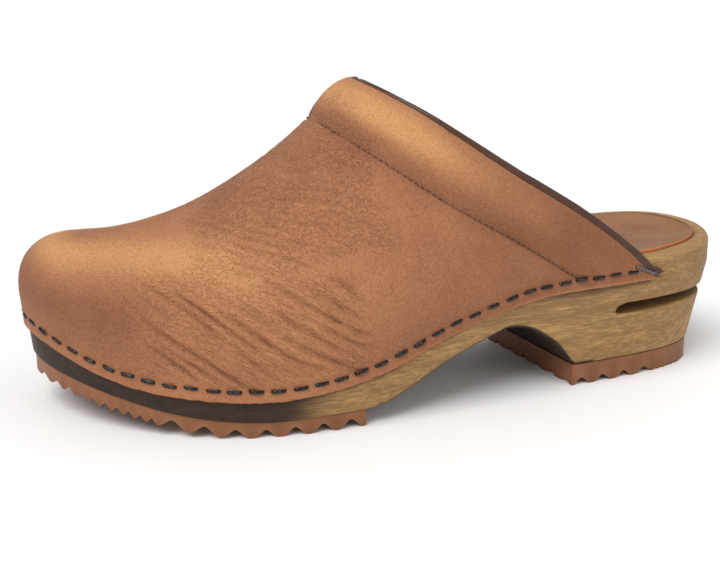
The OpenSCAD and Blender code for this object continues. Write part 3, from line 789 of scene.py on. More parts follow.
@dataclass(frozen=True)
class NubuckFinish(Finish):
    """Oiled nubuck: cloudy golden brown to rosy brown, pebbled, with painted shade in its creases and low
    parts and a painted highlight on its shoulders.
    """

    base: Colour = (0.42, 0.178, 0.083)
    cloud: Colour = (0.33, 0.132, 0.062)
    fleck: Colour = (0.54, 0.25, 0.12)
    # Lighter colour of pulled-up leather, also used for a painted highlight.
    worn: Colour = (0.68, 0.335, 0.135)
    # Colour of the painted shade in creases, wrinkles, hollows and low parts.
    deep: Colour = (0.13, 0.042, 0.018)
    raw: Colour = (0.42, 0.165, 0.07)

    def material(self, groups: Groups) -> bpy.types.Material:
        """Builds the material from the masks of lighter leather with painted highlight, of painted shade in
        the creases, of tone (mostly painted shade), raw and wrinkle.
        """
        material, b, shader, where = self.start()
        colour = groups.mottle.use(b, Vector=where, Base=self.base, Cloud=self.cloud, Fleck=self.fleck,
                                   Scale=34.0, Fleck_Amount=0.4).outputs[0]
        grain = groups.hide.use(b, Vector=where, Size=1500.0, Turn=math.radians(38)).outputs[0]
        fine = groups.wrinkles.use(b, Vector=where, Turn=math.radians(36), Size=640.0).outputs[0]
        cross = groups.wrinkles.use(b, Vector=where, Turn=math.radians(75), Size=520.0).outputs[0]
        crossed = b.math("ADD", b.math("MULTIPLY", cross, 0.4), 0.6)
        fine = b.math("MULTIPLY", b.math("SUBTRACT", 1.0, b.math("MULTIPLY", fine, crossed)),
                      b.mask("wrinkle"))
        # Painted highlight, partly the lighter pulled-up leather.
        colour = b.tint(colour, self.worn, "worn", 0.85)
        # Painted shade from the tone mask, with some random mottle.
        colour = b.tint(colour, self.deep, "tone", 0.55)
        # Painted shade in the creases, the seam's groove and round the staple dents.
        colour = b.tint(colour, self.deep, "crease", 0.5)
        # Painted shade along the fine wrinkles.
        colour = b.blend(colour, self.deep, b.math("MULTIPLY", fine, 0.12))
        # Darker in the grain's hollows, a painted shade, and lighter on its tops.
        colour = b.blend(colour, self.deep, b.span(grain, 0.3, 0.0, 0.0, 0.22))
        colour = b.blend(colour, self.fleck, b.span(grain, 0.4, 0.7, 0.0, 0.3))
        colour = b.blend(colour, self.raw, b.mask("raw"))
        b.feed(shader.inputs["Base Color"], colour)
        self.vary(b, shader, grain, (0.1, 0.7), (0.08, -0.08))
        grain = b.math("SUBTRACT", b.math("MULTIPLY", grain, 0.8), b.math("MULTIPLY", fine, 0.55))
        self.bump(b, shader, grain, 0.0006, 1.0)
        return material


@dataclass(frozen=True)
class SuedeFinish(Finish):
    """Napped leather: cloudy, soft, with short fibres."""

    base: Colour = (0.24, 0.105, 0.055)
    cloud: Colour = (0.33, 0.17, 0.085)
    fleck: Colour = (0.15, 0.06, 0.035)
    edge: Colour = (0.5, 0.17, 0.06)

    def material(self, groups: Groups) -> bpy.types.Material:
        """Builds the material; the mask raw shows the cut edge's colour."""
        material, b, shader, where = self.start()
        colour = groups.mottle.use(b, Vector=where, Base=self.base, Cloud=self.cloud, Fleck=self.fleck,
                                   Scale=45.0, Fleck_Amount=0.5).outputs[0]
        nap = b.noise(where, 1500.0, 4.0, 0.7)
        colour = b.blend(colour, self.edge, b.mask("raw"))
        b.feed(shader.inputs["Base Color"], colour)
        self.bump(b, shader, nap, 0.00025, 0.6)
        return material


@dataclass(frozen=True)
class WoodFinish(Finish):
    """Stained wood with lengthwise grain, darkened by painted shade where a mask asks for it."""

    light: Colour = (0.53, 0.315, 0.12)
    dark: Colour = (0.25, 0.14, 0.052)
    # Colours of a dark copy of the grain, used for painted shade.
    shaded_light: Colour = (0.045, 0.022, 0.013)
    shaded_dark: Colour = (0.015, 0.008, 0.005)
    shade: Colour = (0.27, 0.14, 0.052)
    worn: Colour = (0.42, 0.25, 0.11)

    def material(self, groups: Groups) -> bpy.types.Material:
        """Builds the material from the mask of painted shade and the mask edge."""
        material, b, shader, where = self.start()
        plain = groups.wood.use(b, Vector=where, Light=self.light, Dark=self.dark, Rings=0.7)
        # A dark copy of the grain for the painted shade.
        shaded = groups.wood.use(b, Vector=where, Light=self.shaded_light, Dark=self.shaded_dark,
                                  Rings=1.0)
        cloud = b.noise(where, 55.0, 3.0, 0.6)
        colour = b.blend(plain.outputs["Color"], self.shade, b.span(cloud, 0.5, 0.75, 0.0, 0.35))
        # Painted shade where the mask asks for it.
        colour = b.blend(colour, shaded.outputs["Color"], b.mask("stain"))
        colour = b.tint(colour, self.worn, "edge", 0.4)
        b.feed(shader.inputs["Base Color"], colour)
        self.vary(b, shader, cloud, (0.3, 0.7), (-0.06, 0.08))
        self.bump(b, shader, plain.outputs["Height"], 0.00028, 0.7)
        return material


@dataclass(frozen=True)
class RubberFinish(Finish):
    """Brown rubber that light soaks into, paler in the grooves and scuffed on the tips."""

    base: Colour = (0.185, 0.062, 0.02)
    pale: Colour = (0.34, 0.18, 0.1)
    scuff: Colour = (0.14, 0.07, 0.032)
    cloud: Colour = (0.25, 0.095, 0.04)

    def material(self, groups: Groups) -> bpy.types.Material:
        """Builds the material from the masks groove and tip."""
        material, b, shader, where = self.start()
        cloud = b.noise(where, 70.0, 4.0, 0.6)
        colour = b.blend(self.base, self.cloud, b.span(cloud, 0.35, 0.7))
        colour = b.tint(colour, self.pale, "groove", 0.35)
        colour = b.tint(colour, self.scuff, "tip", 0.4)
        b.feed(shader.inputs["Base Color"], colour)
        speck = b.noise(where, 1400.0, 3.0, 0.6)
        self.vary(b, shader, speck, (0.3, 0.7), (-0.08, 0.1))
        self.bump(b, shader, b.math("ADD", speck, b.math("MULTIPLY", cloud, 2.0)), 0.00015, 0.5)
        return material


@dataclass(frozen=True)
class BindingFinish(Finish):
    """Dark leather with a polished face."""

    base: Colour = (0.042, 0.016, 0.01)
    cloud: Colour = (0.07, 0.028, 0.017)
    # Colour of the painted highlight.
    worn: Colour = (0.11, 0.05, 0.03)

    def material(self, groups: Groups) -> bpy.types.Material:
        """Builds the material from the mask of its painted highlight."""
        material, b, shader, where = self.start()
        colour = groups.mottle.use(b, Vector=where, Base=self.base, Cloud=self.cloud, Fleck=self.cloud,
                                   Scale=120.0, Fleck_Amount=0.3).outputs[0]
        grain = groups.hide.use(b, Vector=where, Size=1900.0, Turn=0.0).outputs[0]
        colour = b.tint(colour, self.worn, "worn", 0.4)
        b.feed(shader.inputs["Base Color"], colour)
        self.bump(b, shader, grain, 0.00012, 0.4)
        return material


@dataclass(frozen=True)
class MetalFinish(Finish):
    """Wire or nail steel, blackened or bright, with small marks."""

    base: Colour = (0.012, 0.012, 0.014)
    marks: Colour = (0.08, 0.08, 0.09)

    def material(self, groups: Groups) -> bpy.types.Material:
        """Builds the material."""
        material, b, shader, where = self.start()
        marks = b.noise(where, 900.0, 4.0, 0.65)
        b.feed(shader.inputs["Base Color"], b.blend(self.base, self.marks, b.span(marks, 0.5, 0.75)))
        self.vary(b, shader, marks, (0.35, 0.7), (-0.1, 0.15))
        self.bump(b, shader, marks, 0.00008, 0.4)
        return material


@dataclass(frozen=True)
class ThreadFinish(Finish):
    """Waxed twisted thread."""

    base: Colour = (0.05, 0.02, 0.013)
    light: Colour = (0.12, 0.055, 0.035)

    def material(self, groups: Groups) -> bpy.types.Material:
        """Builds the material."""
        material, b, shader, where = self.start()
        drawn = b.stretched(where, (1.0, 1.0, 1.6), (0, 35, 0))
        twist = b.node("ShaderNodeTexWave", Vector=drawn, Scale=900.0, Distortion=0.6)
        b.feed(shader.inputs["Base Color"], b.blend(self.base, self.light, twist.outputs["Fac"]))
        self.bump(b, shader, twist.outputs["Fac"], 0.0001, 0.8)
        return material


@dataclass(frozen=True)
class FoamFinish(Finish):
    """Soft open foam."""

    base: Colour = (0.6, 0.52, 0.34)
    shade: Colour = (0.4, 0.33, 0.2)

    def material(self, groups: Groups) -> bpy.types.Material:
        """Builds the material."""
        material, b, shader, where = self.start()
        cells = b.cells(where, 900.0)
        b.feed(shader.inputs["Base Color"], b.blend(self.base, self.shade, b.span(cells, 0.2, 0.7)))
        self.bump(b, shader, cells, 0.0003, 0.7)
        return material


class Wardrobe:
    """Every material of the clog, built once."""

    def __init__(self) -> None:
        """Builds the materials."""
        g = Groups()
        self.nubuck = NubuckFinish("oiled_nubuck", roughness=0.6, specular=0.22, sheen=0.02).material(g)
        self.flesh_side = SuedeFinish("flesh_side", roughness=0.9, specular=0.15, sheen=0.2,
                                      base=(0.3, 0.145, 0.08), cloud=(0.36, 0.18, 0.1),
                                      fleck=(0.2, 0.09, 0.05), edge=(0.5, 0.21, 0.085)).material(g)
        self.insole = SuedeFinish("insole_suede", roughness=0.85, specular=0.2, sheen=0.15).material(g)
        self.lining = SuedeFinish("lining_leather", roughness=0.6, specular=0.35,
                                  base=(0.3, 0.14, 0.08), cloud=(0.36, 0.18, 0.1)).material(g)
        self.wood = WoodFinish("stained_wood", roughness=0.55, specular=0.25).material(g)
        self.rubber = RubberFinish("tread_rubber", roughness=0.45, specular=0.3, subsurface=0.1,
                                   subsurface_scale=0.003).material(g)
        self.binding = BindingFinish("dark_binding", roughness=0.36, specular=0.32).material(g)
        self.bright_staple = MetalFinish("worn_wire", roughness=0.3, metallic=1.0,
                                         base=(0.12, 0.12, 0.13), marks=(0.35, 0.35, 0.36)).material(g)
        self.staple = MetalFinish("black_wire", roughness=0.28, metallic=0.6).material(g)
        self.nail = MetalFinish("bright_nail", roughness=0.35, metallic=1.0, base=(0.45, 0.44, 0.42),
                                marks=(0.6, 0.6, 0.58)).material(g)
        self.thread = ThreadFinish("waxed_thread", roughness=0.5).material(g)
        self.foam = FoamFinish("collar_foam", roughness=0.9).material(g)


def dress(piece: bpy.types.Object, slot: str, *nodes: str) -> bpy.types.Object:
    """Hangs a finished piece on the root and hides the frame nodes that it stands for.

    Args:
        piece: The piece.
        slot: Not used.
        nodes: Frame nodes that the piece stands for.

    Returns:
        The piece.
    """
    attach(piece, "root")
    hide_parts(*nodes)
    LOG.info("%s: %d faces, stands for %s", piece.name, len(piece.data.polygons), ", ".join(nodes))
    return piece


# ------------------------------------------------------------------ placing small parts
@dataclass
class Stands:
    """Places that small parts stand on, each with its own three directions."""

    origin: Array
    along: Array
    aside: Array
    out: Array

    def stamp(self, shape: Shape, points: Array, faces: Sequence[Array]) -> None:
        """Adds a copy of a small part at each place: origin + x along + y aside + z out."""
        at = (self.origin[:, None] + self.along[:, None] * points[None, :, :1]
              + self.aside[:, None] * points[None, :, 1:2] + self.out[:, None] * points[None, :, 2:])
        count, size = len(self.origin), len(points)
        jumps = (np.arange(count) * size)[:, None, None]
        shape.add(at, [(f[None] + jumps).reshape(-1, f.shape[1]) for f in faces])


@dataclass
class StaplePlan:
    """Where the staples go: a row along each side, a row round the toe, and the piping's ends."""

    form: ClogForm
    per_side: int = 24
    round_toe: int = 18
    first_back: float = 10.0
    last_station: float = 212.0
    rise: float = 3.6

    def side(self, side: Side) -> Array:
        """Plan parameters of one side's staples."""
        f = self.form
        ends = f.t_at(np.array([f.upper_rear + self.first_back, self.last_station]), side)
        return f.even_places(ends[0], ends[1], self.per_side)

    def toe(self) -> Array:
        """Plan parameters of the toe's staples."""
        f = self.form
        a, b = f.t_at(self.last_station, Side.OUTER), f.t_at(self.last_station, Side.INNER)
        return f.even_places(float(a), float(b), self.round_toe + 2)[1:-1]

    def stands(self, t: Array, rise: Array | float, turn: Array | float = 0.0) -> Stands:
        """Places and directions of staples: along the leather's edge, facing out of the wall."""
        f = self.form
        p, out = f.plan(t), f.outward(t)
        s = p[..., 0]
        way = np.stack([out[..., 1], -out[..., 0]], -1)
        slope = (f.leather_edge(s + 1) - f.leather_edge(s - 1)) / 2 * way[..., 0]
        origin = lifted(p + out * f.proud, f.leather_edge(s) + rise)
        z = lifted(out, np.zeros(s.shape))
        x = unit(lifted(way, slope + turn))
        y = unit(np.cross(z, x))
        return Stands(f.place(origin), np.cross(y, z), y, z)


# ------------------------------------------------------------------ wood
@dataclass
class RingOfPlaces:
    """Places round the sole: up the outer side to the toe, then back along the inner side."""

    form: ClogForm
    outer: Array
    inner: Array
    blunt: float = 11.0

    def __post_init__(self) -> None:
        """Works out the plan, the outward directions and each place's point on the spine."""
        f = self.form
        t = np.concatenate([f.t_at(self.outer, Side.OUTER), f.t_at(self.inner, Side.INNER)[-2:0:-1]])
        self.count, self.half = len(t), len(self.outer) - 1
        self.t, self.p, self.n = t, f.plan(t), f.outward(t)
        self.s = self.p[:, 0]
        k = np.arange(self.count)
        m = np.minimum(k, self.count - k)
        low = int(np.searchsorted(self.outer, f.low + self.blunt))
        high = int(np.searchsorted(self.outer, f.high - self.blunt))
        c = np.clip(m, low, high)
        self.spine = (self.p[c] + self.p[(self.count - c) % self.count]) / 2

    def inward(self, inset: Array | float, share: float = 0.0) -> Array:
        """Plan of the ring set in by a distance, then drawn a share of the way to the spine."""
        q = self.p - self.n * np.broadcast_to(inset, self.s.shape)[:, None]
        return mix(q, self.spine, share)

    def cap(self, first: int) -> list[Array]:
        """Faces that close a ring whose place k faces place count - k."""
        k = np.arange(1, self.half)
        mate = self.count - k
        a = first + k
        quads = np.stack([a[:-1], a[1:], first + mate[1:], first + mate[:-1]], -1)
        ends = np.array([[first, first + 1, first + self.count - 1],
                         [first + self.half, first + self.half + 1, first + self.half - 1]])
        return [quads, ends]


@dataclass
class WoodenSole:
    """The carved sole: rounded rim, dished footbed, sprung slot in the heel, arched waist."""

    form: ClogForm
    wardrobe: Wardrobe
    half_count: int = 190
    rim_width: float = 6.0
    footbed_drop: float = 1.2
    footbed_dish: float = 4.0
    slot_front: float = 55.0
    slot_roof: float = 30.3
    slot_floor_front: float = 26.1
    slot_floor_back: float = 27.1
    slot_nose: float = 5.5
    slot_lip: tuple[tuple[float, float], ...] = ((0.45, 0.12), (0.15, 0.42), (0.0, 1.0))
    slot_columns: int = 13
    # Stations where the painted shade on the wood starts and fades.
    painted_shade_front: float = 160.0
    painted_shade_waist: float = 95.0
    painted_shade_rear: float = 62.0
    worn_front: float = 60.0
    low_rim: tuple[tuple[float, float], ...] = ((0.08, 0.7), (0.3, 0.3), (0.7, 0.06), (1.3, 0.0))
    rim: tuple[tuple[float, float], ...] = ((6, 1.2), (5.6, 0.85), (5, 0.5), (4.2, 0.2), (3.2, 0.02),
        (2.2, 0.08), (1.4, 0.4), (0.8, 0.9), (0.35, 1.6), (0.1, 2.3), (0, 3))
    shares: tuple[float, ...] = (0.04, 0.1, 0.18, 0.28, 0.4, 0.54, 0.7, 0.85, 0.97)
    under_shares: tuple[float, ...] = (0.03, 0.08, 0.16, 0.28, 0.42, 0.58, 0.75, 0.9, 0.98)

    def ring(self) -> RingOfPlaces:
        """Paired places whose lines across the sole follow the slanted front of the heel."""
        f = self.form
        turn = np.linspace(0, np.pi, self.half_count + 1)
        outer = (f.low + f.high) / 2 - (f.high - f.low) / 2 * np.cos(turn)
        nose = self.slot_front - self.slot_nose * (1 - np.sin(np.linspace(0, np.pi / 2, 12)))
        outer = outer[(outer < nose[0] - 0.5) | (outer > self.slot_front + 0.5)]
        outer = np.sort(np.concatenate([outer, nose]))
        skew = 7.8 * ease((outer - 57) / 13) * (1 - ease((outer - 110) / 50))
        return RingOfPlaces(f, outer, outer + skew)

    def slot(self, s: Array) -> tuple[Array, Array]:
        """Middle and half height of the slot at a station: it closes in half an ellipse."""
        floor = mix(self.slot_floor_back, self.slot_floor_front, ease(s / 48))
        half = (self.slot_roof - floor) / 2
        close = np.clip((s - self.slot_front + self.slot_nose) / self.slot_nose, 0, 1)
        return (self.slot_roof + floor) / 2 - 0.5 * close, half * np.sqrt(1 - close ** 2)

    def wall(self, r: RingOfPlaces, z: Array, extra: Array | float = 0.0) -> Array:
        """Points of the side wall, which leans in towards its lower edge."""
        f = self.form
        top, lean = f.leather_edge(r.s), f.heel_taper * f.wall_lean(r.s)
        edge = r.inward(lean)
        base = f.underside(edge[:, 0], edge[:, 1])
        share = np.clip((top - z) / (top - base), 0, 1)
        return lifted(r.inward(lean * share + extra), z)

    def dish(self, share: float) -> float:
        """How far the footbed lies under the rim, a share of the way to the spine."""
        return self.footbed_drop + self.footbed_dish * math.sin(share * math.pi / 2)

    def rows(self, r: RingOfPlaces) -> tuple[list[Array], int]:
        """Rings of points from the middle of the footbed over the rim down to the underside.

        Returns:
            The rings, and the number of the last ring above the slot.
        """
        f = self.form
        rebate, top = f.rebate(r.s), f.leather_edge(r.s)
        lean = f.heel_taper * f.wall_lean(r.s)

        def level(inset: Array | float, drop: Array | float, share: float = 0.0) -> Array:
            """A ring that follows the height of the wood's upper edge."""
            q = r.inward(inset, share)
            return lifted(q, f.wood_top(q[:, 0]) - drop)

        def under(inset: float, lift: float, share: float = 0.0) -> Array:
            """A ring that follows the underside."""
            q = r.inward(lean + inset, share)
            return lifted(q, f.underside(q[:, 0], q[:, 1]) + lift)

        rows = [level(self.rim_width + rebate, self.dish(h), h) for h in reversed(self.shares)]
        rows += [level(inset + rebate, drop) for inset, drop in self.rim]
        rows += [lifted(r.inward(rebate), mix(f.wood_top(r.s) - self.rim[-1][1], top, share))
                 for share in (0.25, 0.5, 0.75, 0.95)]
        rows += [lifted(r.inward(rebate), top), lifted(r.inward(rebate * 0.2), top - 0.2)]
        base = under(0.0, 0.0)[:, 2]
        middle, half = self.slot(r.s)
        middle = mix(middle, mix(base, top, 0.5), ease((r.s - self.slot_front - 6) / 30))
        soft = np.minimum(half, 1.0)
        high, low = middle + half + soft, middle - half - soft
        rows += [self.wall(r, mix(top - 0.5, high, share)) for share in (0, 0.3, 0.6, 0.85, 1)]
        rows += [self.wall(r, middle + half + lift * soft, inset * soft)
                 for lift, inset in self.slot_lip]
        last = len(rows) - 1
        rows += [self.wall(r, middle - half - lift * soft, inset * soft)
                 for lift, inset in reversed(self.slot_lip)]
        rows += [self.wall(r, mix(low, base + 1.3, share)) for share in (0, 0.25, 0.5, 0.75, 1)]
        rows += [under(inset, lift) for inset, lift in self.low_rim]
        rows += [under(self.low_rim[-1][0], 0.0, share) for share in self.under_shares]
        return rows, last

    def masks(self, grid: Array, last: int) -> dict[str, Array]:
        """Masks of the rings: painted shade at the toe, on the low waist and in a thin line just below the
        leather's edge; a rim rubbed lighter.

        Args:
            grid: The rings.
            last: Number of the last ring above the slot.

        Returns:
            The mask of painted shade and the mask edge.
        """
        f, number = self.form, np.arange(len(grid))[:, None]
        s, z = grid[..., 0], grid[..., 2]
        # Painted shade on the forefoot's wall, darker towards the toe.
        fray = 5 * soft_noise(z / 5, s / 30, 5)
        stain = ease((s + fray - self.painted_shade_front) / 20)
        # Painted shade on the low wall and underside from the heel's breast forward, strongest at the
        # breast.
        low = (number > last + 8) & (s < self.painted_shade_front - 10)
        waist = 1.0 - 0.4 * ease((s - self.painted_shade_waist) / 30)
        stain = np.maximum(stain, np.where(low & (s > self.painted_shade_rear), waist, 0.0))
        # Painted shadow: a thin dark line just below the leather's edge.
        hidden = bell(z - f.leather_edge(s) + 0.3, 0.9) * (s > f.upper_rear)
        stain = np.maximum(stain, 0.85 * hidden)
        rim = (number > len(self.shares) + 2) & (s < self.worn_front) & (z > f.wood_top(s) - 3)
        return {"stain": stain, "edge": np.where(rim, 0.8, 0.0)}

    def build(self) -> bpy.types.Object:
        """Builds and dresses the sole."""
        f, shape, r = self.form, Shape(), self.ring()
        rows, last = self.rows(r)
        n, bottom = r.count, (len(rows) - 1) * r.count
        grid = np.stack(rows)
        above = grid_quads(last + 1, n, wrap_cols=True)
        below = grid_quads(len(rows) - last - 1, n, wrap_cols=True) + (last + 1) * n
        shape.add(f.place(grid), [above, below, *r.cap(0), *[c[:, ::-1] for c in r.cap(bottom)]],
                  **self.masks(grid, last))
        k = np.arange(int(np.searchsorted(r.outer, self.slot_front)) + 1)
        share = np.linspace(0, 1, self.slot_columns)[None, :, None]
        for row in (last, last + 1):
            a, b = grid[row][k], grid[row][(n - k) % n]
            inside = a[:, None] + (b - a)[:, None] * share
            # The slot's inside takes a light painted shade.
            shape.add(f.place(inside), [grid_quads(len(k), self.slot_columns)], stain=0.15)
        piece = shape.build("carved_wooden_sole", [self.wardrobe.wood], weld=0.004, crease_angle=50)
        return dress(piece, "sole_wood", "wooden_sole")


@dataclass
class InsoleCover:
    """The suede cover glued to the footbed, with its raw edge."""

    sole: WoodenSole
    thickness: float = 1.6
    gap: float = 0.05

    def build(self) -> bpy.types.Object:
        """Builds and dresses the cover: a rounded edge between two rings, and two closed faces."""
        w = self.sole
        f, r, shape = w.form, w.ring(), Shape()
        rebate = f.rebate(r.s)
        lift = self.gap + self.thickness

        def level(inset: float, rise: float, share: float = 0.0) -> Array:
            """A ring lying a height over the footbed."""
            q = r.inward(inset + rebate, share)
            ripple = 0.12 * soft_noise(q[:, 0] / 9, q[:, 1] / 9, 21) * ease(share / 0.1)
            return lifted(q, f.wood_top(q[:, 0]) - w.dish(share) + rise + ripple)

        shares = (0.012, 0.03, 0.06, *w.shares)
        rows = [level(w.rim_width, lift, h) for h in reversed(shares)]
        edge_start = len(rows) - 1
        rows += [level(w.rim_width + 0.55, lift), level(w.rim_width + 0.15, lift - 0.12),
                 level(w.rim_width, lift - 0.45), level(w.rim_width + 0.05, self.gap + 0.3),
                 level(w.rim_width + 0.2, self.gap)]
        edge_end = len(rows) - 1
        rows += [level(w.rim_width, self.gap, h) for h in shares]
        grid, n = np.stack(rows), r.count
        number = np.arange(len(rows))[:, None]
        raw = np.where((number > edge_start + 1) & (number <= edge_end), 1.0, 0.0) * np.ones(n)
        bottom = (len(rows) - 1) * n
        shape.add(f.place(grid), [grid_quads(len(rows), n, wrap_cols=True), *r.cap(0),
                                  *[c[:, ::-1] for c in r.cap(bottom)]], raw=raw)
        piece = shape.build("suede_insole_cover", [w.wardrobe.insole], weld=0.004, crease_angle=60)
        return dress(piece, "insole_suede", "insole_cover")


# ------------------------------------------------------------------ rubber
@dataclass
class Tread:
    """A ribbed rubber tread: sections across the shoe, one behind another, with a toothed foot."""

    form: ClogForm
    wardrobe: Wardrobe
    name: str
    node: str
    start: float
    change: float
    end: float
    coarse_first: bool
    coarse_pitch: float
    coarse_depth: float
    fine_pitch: float
    fine_depth: float
    inset: float
    skewed: bool
    chevron: float = 2.0
    chevron_width: float = 13.0
    rows: int = 520
    across: int = 64

    def teeth(self, x: Array) -> Array:
        """Height of the teeth over their tips: flat tip, slanting rise, sloping return."""
        coarse, fine = (self.coarse_pitch, self.coarse_depth), (self.fine_pitch, self.fine_depth)
        rear, front = (coarse, fine) if self.coarse_first else (fine, coarse)
        height = np.zeros(x.shape)
        for low, high, (pitch, depth) in ((self.start, self.change, rear), (self.change, self.end, front)):
            count = round((high - low) / pitch)
            phase = ((x - low) * count / (high - low)) % 1
            rise = np.interp(phase, (0, 0.05, 0.12, 0.2, 0.5, 0.57, 0.64, 0.93, 1),
                             (0.04, 0, 0, 0.08, 0.93, 1, 0.93, 0.1, 0.04))
            here = (x >= low) & ((x <= high) | (high == self.end))
            height = np.where(here, depth * rise, height)
        return height

    def build(self) -> bpy.types.Object:
        """Builds and dresses the tread."""
        f, shape = self.form, Shape()
        turn = np.linspace(0, 1, self.rows)
        v = mix(self.start, self.end, turn)
        if self.end > f.high - 5:
            v = mix(self.start, f.high - self.inset, 1 - (1 - turn) ** 1.25)
        if self.start < 5:
            v = mix(f.low + self.inset, self.end, turn ** 1.15)
        lean = f.heel_skew * ease(v / 50) if self.skewed else np.zeros(v.shape)
        limits = []
        for side in Side:
            y = np.zeros(v.shape)
            for _ in range(4):
                x = v + lean * (f.skew_side - y)
                y = f.inset_edge(x, side, self.inset)
            limits.append(y)
        share = (1 - np.cos(np.linspace(0, np.pi, self.across))) / 2
        y = mix(limits[1][:, None], limits[0][:, None], share[None])
        x = v[:, None] + lean[:, None] * (f.skew_side - y)
        calm = ease((0.5 - np.abs(share - 0.5)) / 0.16)[None] if not self.skewed else 1.0
        wave = np.abs(((y / self.chevron_width) % 1) - 0.5) * 2 * self.chevron * calm
        phase = v[:, None] + wave
        tip = self.tip(x)
        tall = self.teeth(np.maximum(phase, self.start))
        bottom = tip + tall
        top = self.top(x, y)
        bottom = np.maximum(np.minimum(bottom, top - 0.6), 0.0)
        under = np.stack([x, y, bottom], -1)
        side = np.stack([x, y, top], -1)
        section = np.concatenate([under, side[:, ::-1]], 1)
        groove = np.concatenate([tall / self.coarse_depth, np.full(top.shape, 0.4)], 1)
        worn = np.concatenate([1 - np.clip(tall / 0.4, 0, 1), np.zeros(top.shape)], 1)
        n = section.shape[1]
        ends = np.array([np.arange(n), (self.rows - 1) * n + np.arange(n)[::-1]])
        shape.add(f.place(section), [grid_quads(self.rows, n, wrap_cols=True), ends], groove=groove,
                  tip=worn)
        piece = shape.build(self.name, [self.wardrobe.rubber], weld=0.004, crease_angle=32)
        return dress(piece, "tread_rubber", self.node)

    def tip(self, x: Array) -> Array:
        """Lowest line of the tread."""
        return np.zeros(x.shape)

    def top(self, x: Array, y: Array) -> Array:
        """Upper face of the tread, just under the wood."""
        return np.full(x.shape, self.form.heel_rubber - 0.05)


@dataclass
class ForefootTread(Tread):
    """The forefoot tread, which follows the rocker of the sole."""

    tread_line: SmoothCurve = SmoothCurve(((140, 0.8), (154, 0.4), (165, 0.2), (178, 0), (195, 0),
        (215, 2.6), (235, 7), (258, 13)))

    def tip(self, x: Array) -> Array:
        """Lowest line of the tread."""
        return self.tread_line(x)

    def top(self, x: Array, y: Array) -> Array:
        """Upper face of the tread, just under the wood."""
        return self.form.underside_curve(x) - 0.05


# ------------------------------------------------------------------ leather
@dataclass
class Hide:
    """Millimetre coordinates over the leather, and the creases and patches laid out on them."""

    s: Array
    v: Array
    outer: Array
    apart: float = 400.0
    probe: float = 0.3

    def __post_init__(self) -> None:
        """Sets the two sides apart, so that their noise differs."""
        self.u = np.broadcast_to(self.s, self.v.shape) + np.where(self.outer, 0.0, self.apart)

    def turned(self, tilt: float) -> tuple[Array, Array]:
        """Coordinates along and across a direction tilted by some degrees."""
        a = math.radians(tilt)
        return (self.u * math.cos(a) + self.v * math.sin(a),
                self.u * math.sin(a) - self.v * math.cos(a))

    def lines(self, tilt: float, spacing: float, long: float, seed: int, wander: float,
              width: float) -> Array:
        """Wandering creases of one width: the zero lines of noise drawn out along a tilt.

        Args:
            tilt: Degrees that the creases lean by.
            spacing: About how far apart they lie.
            long: About how far one runs.
            seed: Picks the noise.
            wander: How far they stray, as a share of the spacing.
            width: Half width of each.

        Returns:
            Depth of the creases from 0 to 1.
        """
        along, across = self.turned(tilt)
        stray = soft_noise(along / (spacing * 3), across / (spacing * 3), seed + 9)
        across = across + wander * spacing * stray
        n = layered_noise(across / spacing, along / long, seed, 2)
        ahead = layered_noise((across + self.probe) / spacing, along / long, seed, 2)
        gap = np.abs(n) / (np.abs(ahead - n) / self.probe + 0.015)
        return bell(gap, width) * ease(0.75 + 0.9 * soft_noise(along / 16, across / 7, seed + 5))

    def furrows(self, tilt: float, pitch: float, seed: int, width: float) -> Array:
        """Parallel creases a pitch apart along a tilt, which wander, fade and start again."""
        along, across = self.turned(tilt)
        phase = across / pitch + 0.5 * soft_noise(along / 17, across / 9, seed)
        gap = np.abs(phase - np.round(phase)) * pitch
        strength = ease(0.62 + 0.95 * soft_noise(along / 13, np.round(phase) * 1.7, seed + 5))
        return bell(gap, width) * strength

    def patch(self, s0: float, s1: float, v0: float, v1: float, soft: float = 12.0) -> Array:
        """A soft-edged patch between two stations and two heights up the column."""
        s, v, low = self.s, self.v, soft / 3
        ragged = 5 * soft_noise(self.u / 13, v / 13, 77)
        steep = soft * 0.7
        return (ease((s + ragged - s0 + soft / 2) / soft) * ease((s1 + soft / 2 - s + ragged) / soft)
                * ease((v + ragged - v0 + low) / steep) * ease((v1 + low - v + ragged) / steep))


